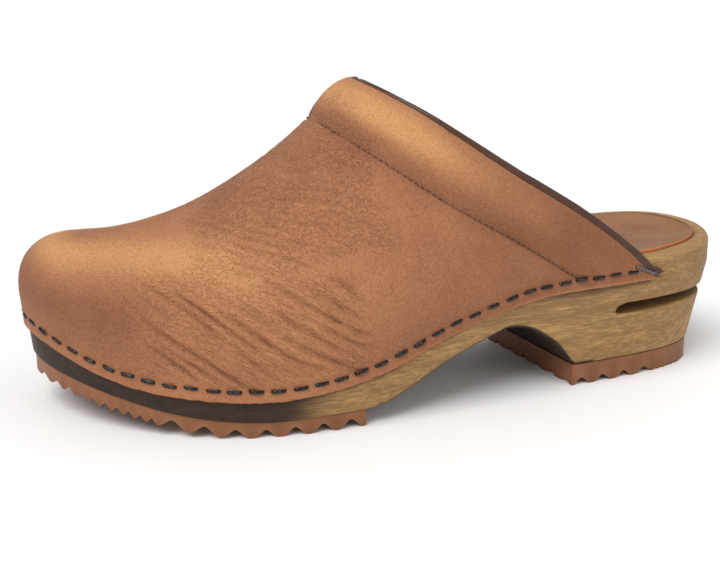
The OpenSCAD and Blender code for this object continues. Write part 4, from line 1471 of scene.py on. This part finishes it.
@dataclass
class LeatherUpper:
    """The upper: a wall and a dome of thick nubuck with creases, puckers, dents and a raw edge."""

    form: ClogForm
    wardrobe: Wardrobe
    staples: StaplePlan
    edge_clear: float = 1.2
    rear_columns: int = 96
    front_columns: int = 150
    cap_columns: int = 38
    rows: int = 128
    inner_step: int = 4
    seam_depth: float = 0.35
    lower_tilt: float = 38.0
    pucker_pitch: float = 2.2
    lip_rows: tuple[tuple[float, float, float], ...] = ((0.12, 0.22, 0.6), (0.5, 0.42, 1.0),
        (1.0, 0.45, 1.0), (1.6, 0.3, 0.4), (2.05, 0.1, 0.0))

    def columns(self) -> Array:
        """Plan parameters of the columns: outer side to the toe's tip, then the inner side back."""
        f = self.form
        front = f.crossing(self.edge_clear)
        share = 1 - np.arange(self.rear_columns) / self.rear_columns
        rear = front - (front - f.upper_rear) * share ** 2
        stations = np.concatenate([rear, np.linspace(front, f.last_spine, self.front_columns + 1)])
        halves = []
        for side in Side:
            t = f.t_at(stations, side)
            cap = np.linspace(t[-1], f.tip_t, self.cap_columns + 1)[1:]
            halves.append(np.concatenate([t, cap]))
        return np.concatenate([halves[0], halves[1][-2::-1]])

    def build(self) -> bpy.types.Object:
        """Builds and dresses the upper."""
        f, shape = self.form, Shape()
        t = self.columns()
        s = f.plan(t)[:, 0]
        top = f.topline_z(s, self.edge_clear)
        base = f.wood_top(s) - 1
        flat = np.minimum(base, top) - f.leather_edge(s)
        whole = flat + np.degrees(f.climb_to(t, top)) * f.climb
        share = np.arange(self.rows + 1) / self.rows
        length = whole[:, None] * share
        face = f.face(t[:, None], length, 0.0, flat[:, None])
        back = f.face(t[:, None], length, f.leather, flat[:, None])
        normal = self.normals(face, back)
        relief, masks = self.relief(t, face, normal)
        outer = face + normal * relief[..., None]
        inner = (back + normal * relief[..., None] * 0.7)[:, :: self.inner_step]
        lip = self.lip(t)
        count, rows = face.shape[:2]
        inner_rows = inner.shape[1]
        a = shape.add(f.place(outer), [grid_quads(count, rows)], **masks)
        b = shape.add(f.place(inner), [grid_quads(count, inner_rows)[:, ::-1]], slot=1, raw=0.0)
        c = shape.add(f.place(lip), [grid_quads(len(lip), count)], raw=1.0, tone=0.15)
        i = np.arange(count)
        half = self.rear_columns + 1
        shape.join([strip_quads(a + i * rows, c + i),
                    strip_quads(c + (len(lip) - 1) * count + i, b + i * inner_rows)])
        for crown in (i[:half], i[-half:]):
            shape.join([strip_quads(a + crown * rows + rows - 1, b + crown * inner_rows + inner_rows - 1)])
        for k in (0, count - 1):
            lips = c + np.arange(len(lip)) * count + k
            down, up = a + k * rows + np.arange(rows)[::-1], b + k * inner_rows + np.arange(inner_rows)
            shape.join([np.concatenate([down, lips, up])[None]])
        piece = shape.build("leather_upper", [self.wardrobe.nubuck, self.wardrobe.flesh_side], weld=0.004,
                            crease_angle=60)
        return dress(piece, "upper_leather", "upper")

    def normals(self, face: Array, back: Array) -> Array:
        """Outward directions, made to agree where columns of the two sides meet."""
        n = grid_normals(face)
        n = n * np.sign((n * (face - back)).sum(-1, keepdims=True))
        count, first = len(face), self.rear_columns
        ridge = np.arange(first, count - first)
        top = n[:, -1].copy()
        top[ridge] = unit(top[ridge] + top[count - 1 - ridge])
        cap = np.arange(first + self.front_columns, count - first - self.front_columns)
        top[cap] = unit(top[cap].mean(0))
        n[:, -1] = top
        return n

    def lip(self, t: Array) -> Array:
        """Rows of the raw lower edge, from the face round to the back, a little frayed."""
        f = self.form
        p, out = f.plan(t), f.outward(t)
        along = arc_length(p)
        fray = 0.22 * layered_noise(along / 3.1, along * 0 + 0.5, 31)
        rows = []
        for depth, drop, loose in self.lip_rows:
            z = f.leather_edge(p[:, 0]) - drop + fray * loose
            rows.append(lifted(p + out * (f.proud - depth), z))
        return np.stack(rows)

    def relief(self, t: Array, face: Array, normal: Array) -> tuple[Array, dict[str, Array]]:
        """Relief of the face in millimetres, and the masks that its colour follows.

        Args:
            t: Plan parameter of each column.
            face: The smooth face, columns by rows.
            normal: Its outward directions.

        Returns:
            The relief, and the masks of lighter leather with painted highlight, of painted shade in the
            creases, of tone (mostly painted shade), raw and wrinkle.
        """
        f = self.form
        s = f.plan(t)[:, 0][:, None]
        x, y, z = face[..., 0], face[..., 1], face[..., 2]
        steps = np.linalg.norm(np.diff(face, axis=1), axis=-1)
        v = np.concatenate([np.zeros((len(face), 1)), np.cumsum(steps, axis=1)], axis=1)
        whole = v[:, -1:]
        fade = np.clip(ease((whole - v) / 9) + np.where(s < f.crossing(0), 1.0, 0.0), 0, 1)
        hide = Hide(s, v, (np.arange(len(t)) <= len(t) // 2)[:, None])
        folds, puffs, wrinkle = self.folds(hide)
        seam_gap, along_seam = self.seam_distance(t, face)
        pucker = 0.5 + 0.5 * np.cos(2 * np.pi * along_seam / self.pucker_pitch)
        groove = self.seam_depth * bell(seam_gap, 1.15) * mix(0.75, 1.0, pucker)
        ripples = 0.18 * bell(seam_gap + 2.6, 2.4) * pucker
        level = np.abs(normal[..., 2])
        wave = 0.22 * (layered_noise(x / 19, z / 19, 83, 2) * (1 - level)
                       + layered_noise(x / 21, y / 21, 93, 2) * level)
        pebble = 0.045 * soft_noise(hide.u / 1.9, v / 1.9, 103) * fade
        toe = ease((s - 214) / 18)
        arc = arc_length(f.plan(t))[:, None]
        gathers = soft_noise(arc / 3.6 + 0.04 * v, v / 40, 113)
        pleats = 0.22 * toe * gathers * ease(v / 3) * ease((26 - v) / 16)
        dents, halo = self.dents(face)
        relief = (-folds * fade + puffs * fade - groove + ripples + wave + pebble + pleats - dents)
        relief = relief * ease(v / 1.2 + 0.15)
        worn, dark = self.tones(hide, face, toe, seam_gap)
        # Painted shade in the folds, in the seam's groove and round the staple dents.
        crease = np.clip(folds * 0.65 + 0.45 * bell(seam_gap, 0.6) + halo * 0.6, 0, 1)
        raw = np.clip(ease((0.9 - v) / 0.6) * 0.5 + halo * 0.2, 0, 1)
        return relief, {"worn": worn, "crease": crease, "tone": dark, "raw": raw, "wrinkle": wrinkle}

    def folds(self, hide: Hide) -> tuple[Array, Array, Array]:
        """Depth of the creases, height of the puffs between them, and the mask of fine wrinkles."""
        s, u, v, tilt = hide.s, hide.u, hide.v, self.lower_tilt
        low, high = hide.patch(156, 224, 7, 42), hide.patch(146, 206, 40, 74)
        instep, seam = hide.patch(146, 196, 60, 110), hide.patch(96, 160, 20, 90)
        folds = (1.1 * low * hide.furrows(tilt, 4.3, 3, 0.85)
                 + 0.4 * low * hide.lines(tilt + 6, 3.4, 26, 13, 0.4, 0.8)
                 + 0.5 * high * hide.furrows(34, 3.6, 23, 0.8)
                 + 0.3 * high * hide.lines(20, 3.8, 12, 73, 0.7, 0.8)
                 + 0.35 * instep * hide.lines(72, 3.8, 14, 33, 0.9, 0.75)
                 + 0.2 * instep * hide.lines(12, 4.6, 12, 43, 0.9, 0.75)
                 + 0.25 * seam * hide.lines(58, 9.0, 60, 53, 0.4, 0.7))
        puffs = low * 0.22 * layered_noise((u * 0.62 - v * 0.79) / 6.5, (u * 0.79 + v * 0.62) / 30, 63, 1)
        wrinkle = np.clip(low * 0.8 + high + instep * 0.9 + 0.35 * ease((s - 150) / 30)
                          + 0.15 * ease((s - 80) / 30), 0, 1) * ease(v / 6)
        return folds, puffs, wrinkle

    def tones(self, hide: Hide, face: Array, toe: Array, seam_gap: Array) -> tuple[Array, Array]:
        """Masks of the lighter leather, partly pulled up and partly a painted highlight, and of the darker
        leather, mostly painted shade with some random mottle.
        """
        f, s, v = self.form, hide.s, hide.v
        height = v / np.maximum(v[:, -1:], 1)
        # Painted highlight along the toe's shoulder, the collar and the lower vamp, partly lighter
        # pulled-up leather.
        shoulder = ease((s - 172) / 30) * bell(height - mix(0.54, 0.74, ease((s - 185) / 50)), 0.16)
        rise = f.collar_share(s, face[..., 2])
        collar = bell(rise - 0.62, 0.3) * ease((s - 78) / 45) * (rise > 0)
        cloud = layered_noise(face[..., 0] / 34, face[..., 2] / 30, 123, 3)
        vamp = 0.3 * bell(s - 178, 26) * bell(height - 0.22, 0.2)
        worn = np.clip(shoulder * (0.95 + 0.3 * cloud) + collar * (0.85 + 0.5 * cloud) + vamp, 0, 1)
        # Painted shade near the lower edge, on the toe's side, towards the heel, along the seam and on the
        # collar near the heel; the cloud term is random mottle.
        dark = (0.2 * ease((16 - v) / 14) * ease((s - 60) / 30) + 0.8 * toe * bell(height - 0.36, 0.18)
                + 0.55 * bell(s - 92, 36) + 0.5 * bell(seam_gap - 2.5, 4.5)
                + 0.25 * ease(cloud) * (1 - collar) + 0.45 * ease(rise * 4) * ease((100 - s) / 40))
        return worn, np.clip(dark, 0, 1)

    def seam_distance(self, t: Array, face: Array) -> tuple[Array, Array]:
        """Distance of each point over the collar's seam, and each column's place along the seam."""
        f = self.form
        s = f.plan(t)[:, 0]
        inside = (s < f.seam_front) & (s > f.seam_rear - 6)
        up = unit(np.gradient(face, axis=1))
        line = f.seam(t)
        way = unit(np.gradient(line, axis=0))
        away = np.linalg.norm(np.cross(up, way[:, None]), axis=-1)
        climb = np.maximum(up[..., 2], 0.25)
        gap = (face[..., 2] - f.seam_z(s)[:, None]) / climb * away
        steps = np.minimum(np.linalg.norm(np.diff(line, axis=0), axis=1), 3)
        along = np.concatenate([[0], np.cumsum(steps)])[:, None]
        return np.where(inside[:, None], gap, -30.0), along

    def dents(self, face: Array) -> tuple[Array, Array]:
        """Depth of the dents that the staples press, and a mask of the ring round them, which takes painted
        shade and a little rubbed raw colour.
        """
        f, plan = self.form, self.staples
        t = np.concatenate([plan.side(Side.OUTER), plan.toe(), plan.side(Side.INNER)])
        stands = plan.stands(t, plan.rise)
        origin = stands.origin - f.shift
        depth, halo = np.zeros(face.shape[:2]), np.zeros(face.shape[:2])
        reached = self.rows // 3
        low = face[:, :reached]
        for centre, along in zip(origin, stands.along):
            d = low - centre
            near = np.abs(d).max(-1) < 9
            if not near.any():
                continue
            run = (d * along).sum(-1)
            off = np.sqrt(np.maximum((d ** 2).sum(-1) - run ** 2, 0))
            far = np.maximum(np.abs(run) - 2.2, 0)
            gap = np.sqrt(off ** 2 + far ** 2)
            depth[:, :reached] += np.where(near, 0.42 * bell(gap, 1.25), 0)
            halo[:, :reached] += np.where(near, bell(gap, 1.1), 0)
        return depth, np.clip(halo, 0, 1)


# ------------------------------------------------------------------ collar
@dataclass
class Collar:
    """The padded collar's hidden foam and its lining, in layers behind the leather."""

    form: ClogForm
    wardrobe: Wardrobe
    foam: float = 5.0
    lining: float = 1.0
    gap: float = 0.05
    clear: float = 2.2
    rear: float = 78.0
    front: float = 154.0
    lining_rear: float = 58.0
    lining_below: float = 7.0
    rear_columns: int = 70
    front_columns: int = 14
    rows: int = 30

    @property
    def start(self) -> float:
        """Depth under the leather's face at which the foam begins."""
        return self.form.leather + self.gap

    def foam_at(self, w: Array) -> Array:
        """Thickness of the foam: a rounded hump between the seam and the opening."""
        return 0.3 + self.foam * np.sin(np.pi * np.clip(w, 0, 1)) ** 0.75

    def sheet(self, rear: float, below: float, front_depth: Callable[[Array], Array],
              back_depth: Callable[[Array], Array], ripple: float) -> Shape:
        """A thick sheet on both sides of the foot that joins over the instep.

        Args:
            rear: Station of its rear ends.
            below: How far it reaches below the seam.
            front_depth: Depth of its outer face from the share between seam and opening.
            back_depth: Depth of its inner face.
            ripple: Height of the small waves in its inner face.

        Returns:
            The shape.
        """
        f, shape = self.form, Shape()
        cross = f.crossing(self.clear)
        share = 1 - np.arange(self.rear_columns) / self.rear_columns
        stations = np.concatenate([cross - (cross - rear) * share ** 2,
                                   np.linspace(cross, self.front, self.front_columns + 1)])
        for side in Side:
            t = f.t_at(stations, side)
            s = f.plan(t)[:, 0]
            seam = np.maximum(f.climb_to(t, f.seam_z(s) + 1), math.radians(1))
            low = np.maximum(f.climb_to(t, f.seam_z(s) + 1 - below), math.radians(1))
            high = np.maximum(f.climb_to(t, f.topline_z(s, self.clear)), seam + math.radians(1))
            phi = mix(low[:, None], high[:, None], np.linspace(0, 1, self.rows + 1))
            w = (phi - seam[:, None]) / (high - seam)[:, None]
            soft = np.sin(np.linspace(0, np.pi, self.rows + 1)) ** 0.5
            wave = ripple * soft * soft_noise(s[:, None] / 5, phi * 18, 7) * ease((np.pi / 2 - phi) / 0.3)
            start = self.start
            thin = mix(0.35, 1.0, ease((s - rear) / 30))[:, None]
            front = f.upper(t[:, None], phi, start + (front_depth(w) - start) * thin)
            back = f.upper(t[:, None], phi, start + (back_depth(w) + wave - start) * thin)
            a = shape.add(f.place(front), [grid_quads(*front.shape[:2])])
            b = shape.add(f.place(back), [grid_quads(*back.shape[:2])[:, ::-1]])
            size, columns = self.rows + 1, len(t)
            i, j = np.arange(columns), np.arange(size)
            rim = np.arange(self.rear_columns + 1)
            shape.join([strip_quads(a + i * size, b + i * size), strip_quads(a + j, b + j),
                        strip_quads(a + (columns - 1) * size + j, b + (columns - 1) * size + j),
                        strip_quads(a + rim * size + self.rows, b + rim * size + self.rows)])
        return shape

    def build(self) -> None:
        """Builds the foam and the lining."""
        start, gap = self.start, self.gap

        def flat_end(w: Array) -> Array:
            """Depth of the foam's back; below the seam there is none."""
            return start + np.where(w < 0, 0.3 * ease(1 + w * 4), self.foam_at(w))

        foam = self.sheet(self.rear, 0.0, lambda w: start + 0 * w,
                          lambda w: start + self.foam_at(w) - 0.1, 0.0)
        pad = foam.build("collar_foam_pad", [self.wardrobe.foam], weld=0.004)
        dress(pad, "collar_foam", "collar_padding")
        lining = self.sheet(self.lining_rear, self.lining_below, lambda w: flat_end(w) + gap,
                            lambda w: flat_end(w) + gap + self.lining, 0.25)
        inside = lining.build("collar_lining_leather", [self.wardrobe.lining], weld=0.004)
        dress(inside, "lining_leather", "collar_lining")


@dataclass
class Piping:
    """The folded binding along the opening: two ridges with a groove, cut to a point at its ends."""

    form: ClogForm
    wardrobe: Wardrobe
    half_count: int = 150
    sides: int = 28
    half_width: float = 1.7
    half_height: float = 1.55
    depth: float = 1.15
    tail: float = 4.5
    softened: int = 12

    def path(self) -> tuple[Array, Array]:
        """The binding's line and the leather's outward direction along it."""
        f = self.form
        share = 1 - np.arange(self.half_count) / self.half_count
        low = f.upper_rear - self.tail
        stations = f.instep_station - (f.instep_station - low) * share ** 2
        lines, normals = [], []
        for side in Side:
            t = f.t_at(stations, side)
            lines.append(f.topline(t, self.depth))
            s = f.plan(t)[:, 0]
            out = lifted(f.outward(t), np.zeros(len(t)))
            phi = f.climb_to(t, f.topline_z(s))
            up = f.upper(t, np.minimum(phi + 0.02, 1.55)) - f.upper(t, np.maximum(phi - 0.02, 0.0))
            way = unit(np.gradient(lines[-1], axis=0))
            n = unit(np.cross(way, unit(up)))
            n = n * np.sign((n * out).sum(-1, keepdims=True) + 1e-6)
            on_wall = ease((phi - 0.03) / 0.15)[:, None]
            normals.append(unit(mix(out, n, on_wall)))
        path = np.concatenate([lines[0], lines[1][::-1]])
        up = np.concatenate([normals[0], normals[1][::-1]])
        low, high = self.half_count - self.softened, self.half_count + self.softened
        for _ in range(6):
            up[1:-1] = unit(up[:-2] + up[1:-1] * 2 + up[2:])
            path[low:high] = (path[low - 1:high - 1] + path[low:high] * 2 + path[low + 1:high + 1]) / 4
        return path, up

    def build(self) -> bpy.types.Object:
        """Builds and dresses the binding."""
        path, up = self.path()
        turn = np.arange(self.sides) / self.sides * 2 * np.pi
        groove = 1 - 0.3 * bell(turn - np.pi / 2, 0.26)
        arc = arc_length(path)
        wave = 1 + 0.035 * soft_noise(arc / 4, arc * 0, 3)
        ends = np.minimum(arc, arc[-1] - arc)
        taper = ease(ends / 4 + 0.12)
        across = self.half_width * np.cos(turn) * groove
        height = self.half_height * np.sin(turn) * groove
        points, faces = swept_tube(self.form.place(path), up, across[None] * (taper * wave)[:, None],
                                   height[None] * (mix(0.45, 1.0, taper) * wave)[:, None])
        shape = Shape()
        # Painted highlight: a lighter band along the binding's outer face.
        worn = np.broadcast_to(bell((turn - np.pi / 2) / 0.9, 0.6), (len(path), self.sides))
        shape.add(points, faces, worn=worn)
        piece = shape.build("opening_piping", [self.wardrobe.binding], weld=0.0005, crease_angle=60)
        return dress(piece, "piping_leather", "topline_piping")


@dataclass
class SeamStitching:
    """Thread of the collar's seam: short stitches that dip into the leather at both ends."""

    form: ClogForm
    wardrobe: Wardrobe
    per_side: int = 53
    thread: float = 0.3
    reach: float = 0.62
    depth: float = 0.3
    top_clear: float = 0.05

    def build(self) -> bpy.types.Object:
        """Builds and dresses the stitches, spread evenly along the seam."""
        f, shape = self.form, Shape()
        run = np.linspace(-1, 1, 9)
        path = np.stack([self.reach * run, 0 * run, 0.12 - 0.6 * run ** 4], -1)
        turn = np.arange(8) / 8 * 2 * np.pi
        thick = self.thread * np.sqrt(1.15 - run ** 6)[:, None]
        points, faces = swept_tube(path, np.array([[0.0, 1.0, 0.0]]), thick * np.cos(turn),
                                   thick * np.sin(turn))
        crowd, step = 1 - np.linspace(1, 0, 600) ** 2, 0.02
        for side in Side:
            t = f.t_at(mix(f.seam_rear, f.seam_front - self.top_clear, crowd), side)
            line = f.seam(t, self.depth)
            arc = arc_length(line)
            phi = f.climb_to(t, f.seam_z(f.plan(t)[:, 0]))
            up = unit(f.upper(t, np.minimum(phi + step, 1.56)) - f.upper(t, phi - step))
            way = unit(np.gradient(line, axis=0))
            out = unit(np.cross(way, up)) * side.value
            places = np.linspace(0, arc[-1], self.per_side)

            def at(rows: Array) -> Array:
                """Values of the seam's rows at the stitches."""
                return np.stack([np.interp(places, arc, rows[:, k]) for k in range(3)], -1)

            x, z = unit(at(way)), unit(at(out))
            y = unit(np.cross(z, x))
            Stands(f.place(at(line)), x, y, z).stamp(shape, points, faces)
        piece = shape.build("collar_stitches", [self.wardrobe.thread], weld=0, crease_angle=60)
        return dress(piece, "seam_thread", "seam_stitching")


# ------------------------------------------------------------------ fasteners
@dataclass
class Staples:
    """Wire staples: a rounded crown between two legs that go into the wood."""

    form: ClogForm
    wardrobe: Wardrobe
    plan: StaplePlan
    length: float = 5.4
    wire: float = 0.58
    depth: float = 7.0

    def template(self) -> tuple[Array, list[Array]]:
        """One staple: its wire carried up, across and down again, ten-sided."""
        half = self.length / 2 - self.wire
        xs = np.array([-1, -1, -0.99, -0.9, -0.72, -0.35, 0, 0.35, 0.72, 0.9, 0.99, 1, 1]) * half
        zs = np.array([-self.depth, -1, -0.4, 0.0, 0.14, 0.2, 0.22, 0.2, 0.14, 0.0, -0.4, -1, -self.depth])
        path = np.stack([xs, 0 * xs, zs], -1)
        turn = (np.arange(10) + 0.5) / 10 * 2 * np.pi
        thin = np.where(np.abs(zs) > 3, 0.4, 1.0)[:, None]
        return swept_tube(path, np.array([[0.0, 1.0, 0.0]]), self.wire * 0.85 * np.cos(turn) * thin,
                          self.wire * np.sin(turn) * thin)

    def row(self, name: str, node: str, t: Array, seed: int, rise: Array | float,
            turn: Array | float = 0.0, sink: float = 0.2,
            wire: Optional[bpy.types.Material] = None) -> None:
        """Builds and dresses one row, each staple a little off true."""
        rng = np.random.default_rng(seed)
        count = len(t)
        rises = rise + rng.uniform(-0.25, 0.25, count)
        stands = self.plan.stands(t, rises, turn + rng.uniform(-0.07, 0.07, count))
        slide = stands.along * rng.uniform(-0.3, 0.3, (count, 1))
        stands.origin = stands.origin - stands.out * sink + slide
        shape = Shape()
        stands.stamp(shape, *self.template())
        piece = shape.build(name, [wire or self.wardrobe.staple], weld=0, crease_angle=50)
        dress(piece, "staple_wire", node)

    def build(self) -> None:
        """Builds all four rows."""
        f, plan = self.form, self.plan
        self.row("staples_outer_side", "outer_staples", plan.side(Side.OUTER), 1, plan.rise)
        self.row("staples_inner_side", "inner_staples", plan.side(Side.INNER), 2, plan.rise)
        self.row("staples_round_toe", "toe_staples", plan.toe(), 3, plan.rise)
        stations = np.array([f.upper_rear + 2, f.upper_rear + 6.5])
        t = np.concatenate([f.t_at(stations, side) for side in Side])
        self.row("staples_piping_ends", "piping_end_staples", t, 4, np.array([2.6, 4.8] * 2),
                 turn=np.repeat([0.35, -0.35], 2), sink=-0.5, wire=self.wardrobe.bright_staple)


@dataclass
class Nails:
    """Countersunk nails that hold a tread, their heads in its grooves."""

    form: ClogForm
    wardrobe: Wardrobe
    head: float = 4.5
    seat: float = 2.6
    sides: int = 28
    fore_places: tuple[tuple[float, float], ...] = ((163, 30), (163, -30), (185, 34), (185, -36),
        (208, 28), (208, -34), (232, 8), (232, -30))
    heel_places: tuple[tuple[float, float], ...] = ((18, 14), (18, -14), (40, 22), (40, -18),
        (58, 22), (58, -18))

    def row(self, name: str, node: str, places: Sequence[tuple[float, float]],
            height: Callable[[Array], Array], length: float) -> None:
        """Builds and dresses one tread's nails: a turned profile at each place, head down."""
        r = self.head / 2
        radius = np.array([0.0, 0.25, 0.45, r - 0.3, r - 0.05, r, r - 0.1, 1.05, 1.0, 1.0, 0.0])
        rise = np.array([0.14, 0.13, 0.02, -0.02, 0.03, 0.15, 0.3, 1.1, 1.4, length, length])
        turn = np.arange(self.sides) / self.sides * 2 * np.pi
        ring = np.stack([radius[:, None] * np.cos(turn), radius[:, None] * np.sin(turn),
                         np.broadcast_to(rise[:, None], (len(radius), self.sides))], -1)
        p = np.asarray(places, float)
        origin = self.form.place(np.stack([p[:, 0], p[:, 1], height(p[:, 0])], -1))
        axes = [np.tile(a, (len(p), 1)) for a in np.eye(3)]
        shape = Shape()
        faces = [grid_quads(len(radius), self.sides, wrap_cols=True)]
        Stands(origin, *axes).stamp(shape, ring.reshape(-1, 3), faces)
        piece = shape.build(name, [self.wardrobe.nail], weld=0.002, crease_angle=35)
        dress(piece, "nail_steel", node)

    def build(self, tread: ForefootTread) -> None:
        """Builds the nails of both treads."""
        self.row("nails_forefoot", "forefoot_nails", self.fore_places,
                 lambda s: tread.tread_line(s) + self.seat, 12.0)
        self.row("nails_heel", "heel_nails", self.heel_places, lambda s: self.seat + 0 * s, 14.0)


# ------------------------------------------------------------------ surroundings
@dataclass
class Studio:
    """Floor, lights and camera."""

    turn: float = 19.42
    tilt: float = 16.33
    distance: float = 545.6
    lens: float = 68.45
    target: tuple[float, float, float] = (-6.1, -42.4, 21.4)
    world: float = 0.55
    sun: float = 2.3
    sun_angle: float = 40.0
    sun_place: tuple[float, float, float] = (0.6, 0.45, 1.0)
    fill: float = 1.5
    fill_size: float = 0.6
    fill_place: tuple[float, float, float] = (-0.5, 0.9, 0.5)
    lit_height: float = 0.04
    floor_size: float = 20.0

    def floor(self) -> None:
        """Lays a plain pale floor under the shoe."""
        half = self.floor_size / 2
        mesh = bpy.data.meshes.new("floor")
        corners = [(-half, -half, 0), (half, -half, 0), (half, half, 0), (-half, half, 0)]
        mesh.from_pydata(corners, [], [(0, 1, 2, 3)])
        material = bpy.data.materials.new("pale_floor")
        material.use_nodes = True
        shader = material.node_tree.nodes["Principled BSDF"]
        shader.inputs["Base Color"].default_value = (0.93, 0.93, 0.93, 1)
        shader.inputs["Roughness"].default_value = 0.7
        mesh.materials.append(material)
        floor = bpy.data.objects.new("floor", mesh)
        bpy.context.scene.collection.objects.link(floor)
        floor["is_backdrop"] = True

    def light(self, name: str, kind: str, place: tuple[float, float, float], size: float,
              power: float) -> None:
        """Adds a light that faces the shoe; size is a side in metres, or a sun's angle in degrees."""
        lamp = bpy.data.lights.new(name, kind)
        lamp.energy = power
        if kind == "SUN":
            lamp.angle = math.radians(size)
        else:
            lamp.size = size
        holder = bpy.data.objects.new(name, lamp)
        holder.location = place
        way = np.array([0, 0, self.lit_height]) - np.array(place)
        holder.rotation_euler = (math.atan2(math.hypot(way[0], way[1]), -way[2]), 0,
                                 math.atan2(way[1], way[0]) - math.pi / 2)
        bpy.context.scene.collection.objects.link(holder)

    def build(self) -> None:
        """Builds the surroundings."""
        scene = bpy.context.scene
        world = bpy.data.worlds.new("studio")
        world.use_nodes = True
        world.node_tree.nodes["Background"].inputs["Color"].default_value = (1, 1, 1, 1)
        world.node_tree.nodes["Background"].inputs["Strength"].default_value = self.world
        scene.world = world
        self.floor()
        scene.view_settings.view_transform = "Standard"
        self.light("key", "SUN", self.sun_place, self.sun_angle, self.sun)
        self.light("fill", "AREA", self.fill_place, self.fill_size, self.fill)
        turn, tilt = math.radians(self.turn), math.radians(self.tilt)
        back = np.array([math.sin(turn) * math.cos(tilt), math.cos(turn) * math.cos(tilt), math.sin(tilt)])
        camera = bpy.data.cameras.new("camera")
        camera.lens, camera.sensor_width = self.lens, 36.0
        camera.clip_start, camera.clip_end = 0.01, 100
        holder = bpy.data.objects.new("camera", camera)
        holder.location = (np.array(self.target) + back * self.distance) * MM
        holder.rotation_euler = (math.pi / 2 - tilt, 0, math.pi - turn)
        scene.collection.objects.link(holder)
        scene.camera = holder


@dataclass
class Clog:
    """The whole shoe."""

    form: ClogForm
    wardrobe: Wardrobe

    def build(self) -> None:
        """Builds every piece in order."""
        f, w = self.form, self.wardrobe
        sole = WoodenSole(f, w)
        sole.build()
        InsoleCover(sole).build()
        fore = ForefootTread(f, w, "forefoot_tread", "forefoot_outsole", start=154, change=222, end=262,
                             coarse_first=True, coarse_pitch=10, coarse_depth=3, fine_pitch=10 / 3,
                             fine_depth=1.8, inset=2.0, skewed=False)
        fore.build()
        heel = Tread(f, w, "heel_tread", "heel_outsole", start=0, change=36, end=70,
                     coarse_first=False, coarse_pitch=8, coarse_depth=2.6, fine_pitch=3.2,
                     fine_depth=1.2, inset=6.3, skewed=True, chevron=4.0, chevron_width=9.5)
        heel.build()
        plan = StaplePlan(f)
        LeatherUpper(f, w, plan).build()
        Collar(f, w).build()
        Piping(f, w).build()
        SeamStitching(f, w).build()
        Staples(f, w, plan).build()
        Nails(f, w).build(fore)


def write_sizes(looks: object) -> None:
    def plain(box: Iterable[Iterable[float]]) -> list[list[float]]:
        """A box as lists of numbers."""
        return [[float(x) for x in corner] for corner in box]


def main() -> None:
    """Loads the frame and builds the shoe and its surroundings round it."""
    logging.basicConfig(level=logging.INFO, format="%(name)s %(message)s")
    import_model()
    Studio().build()
    Clog(ClogForm(), Wardrobe()).build()
    write_sizes(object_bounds())


if __name__ == "__main__":
    main()
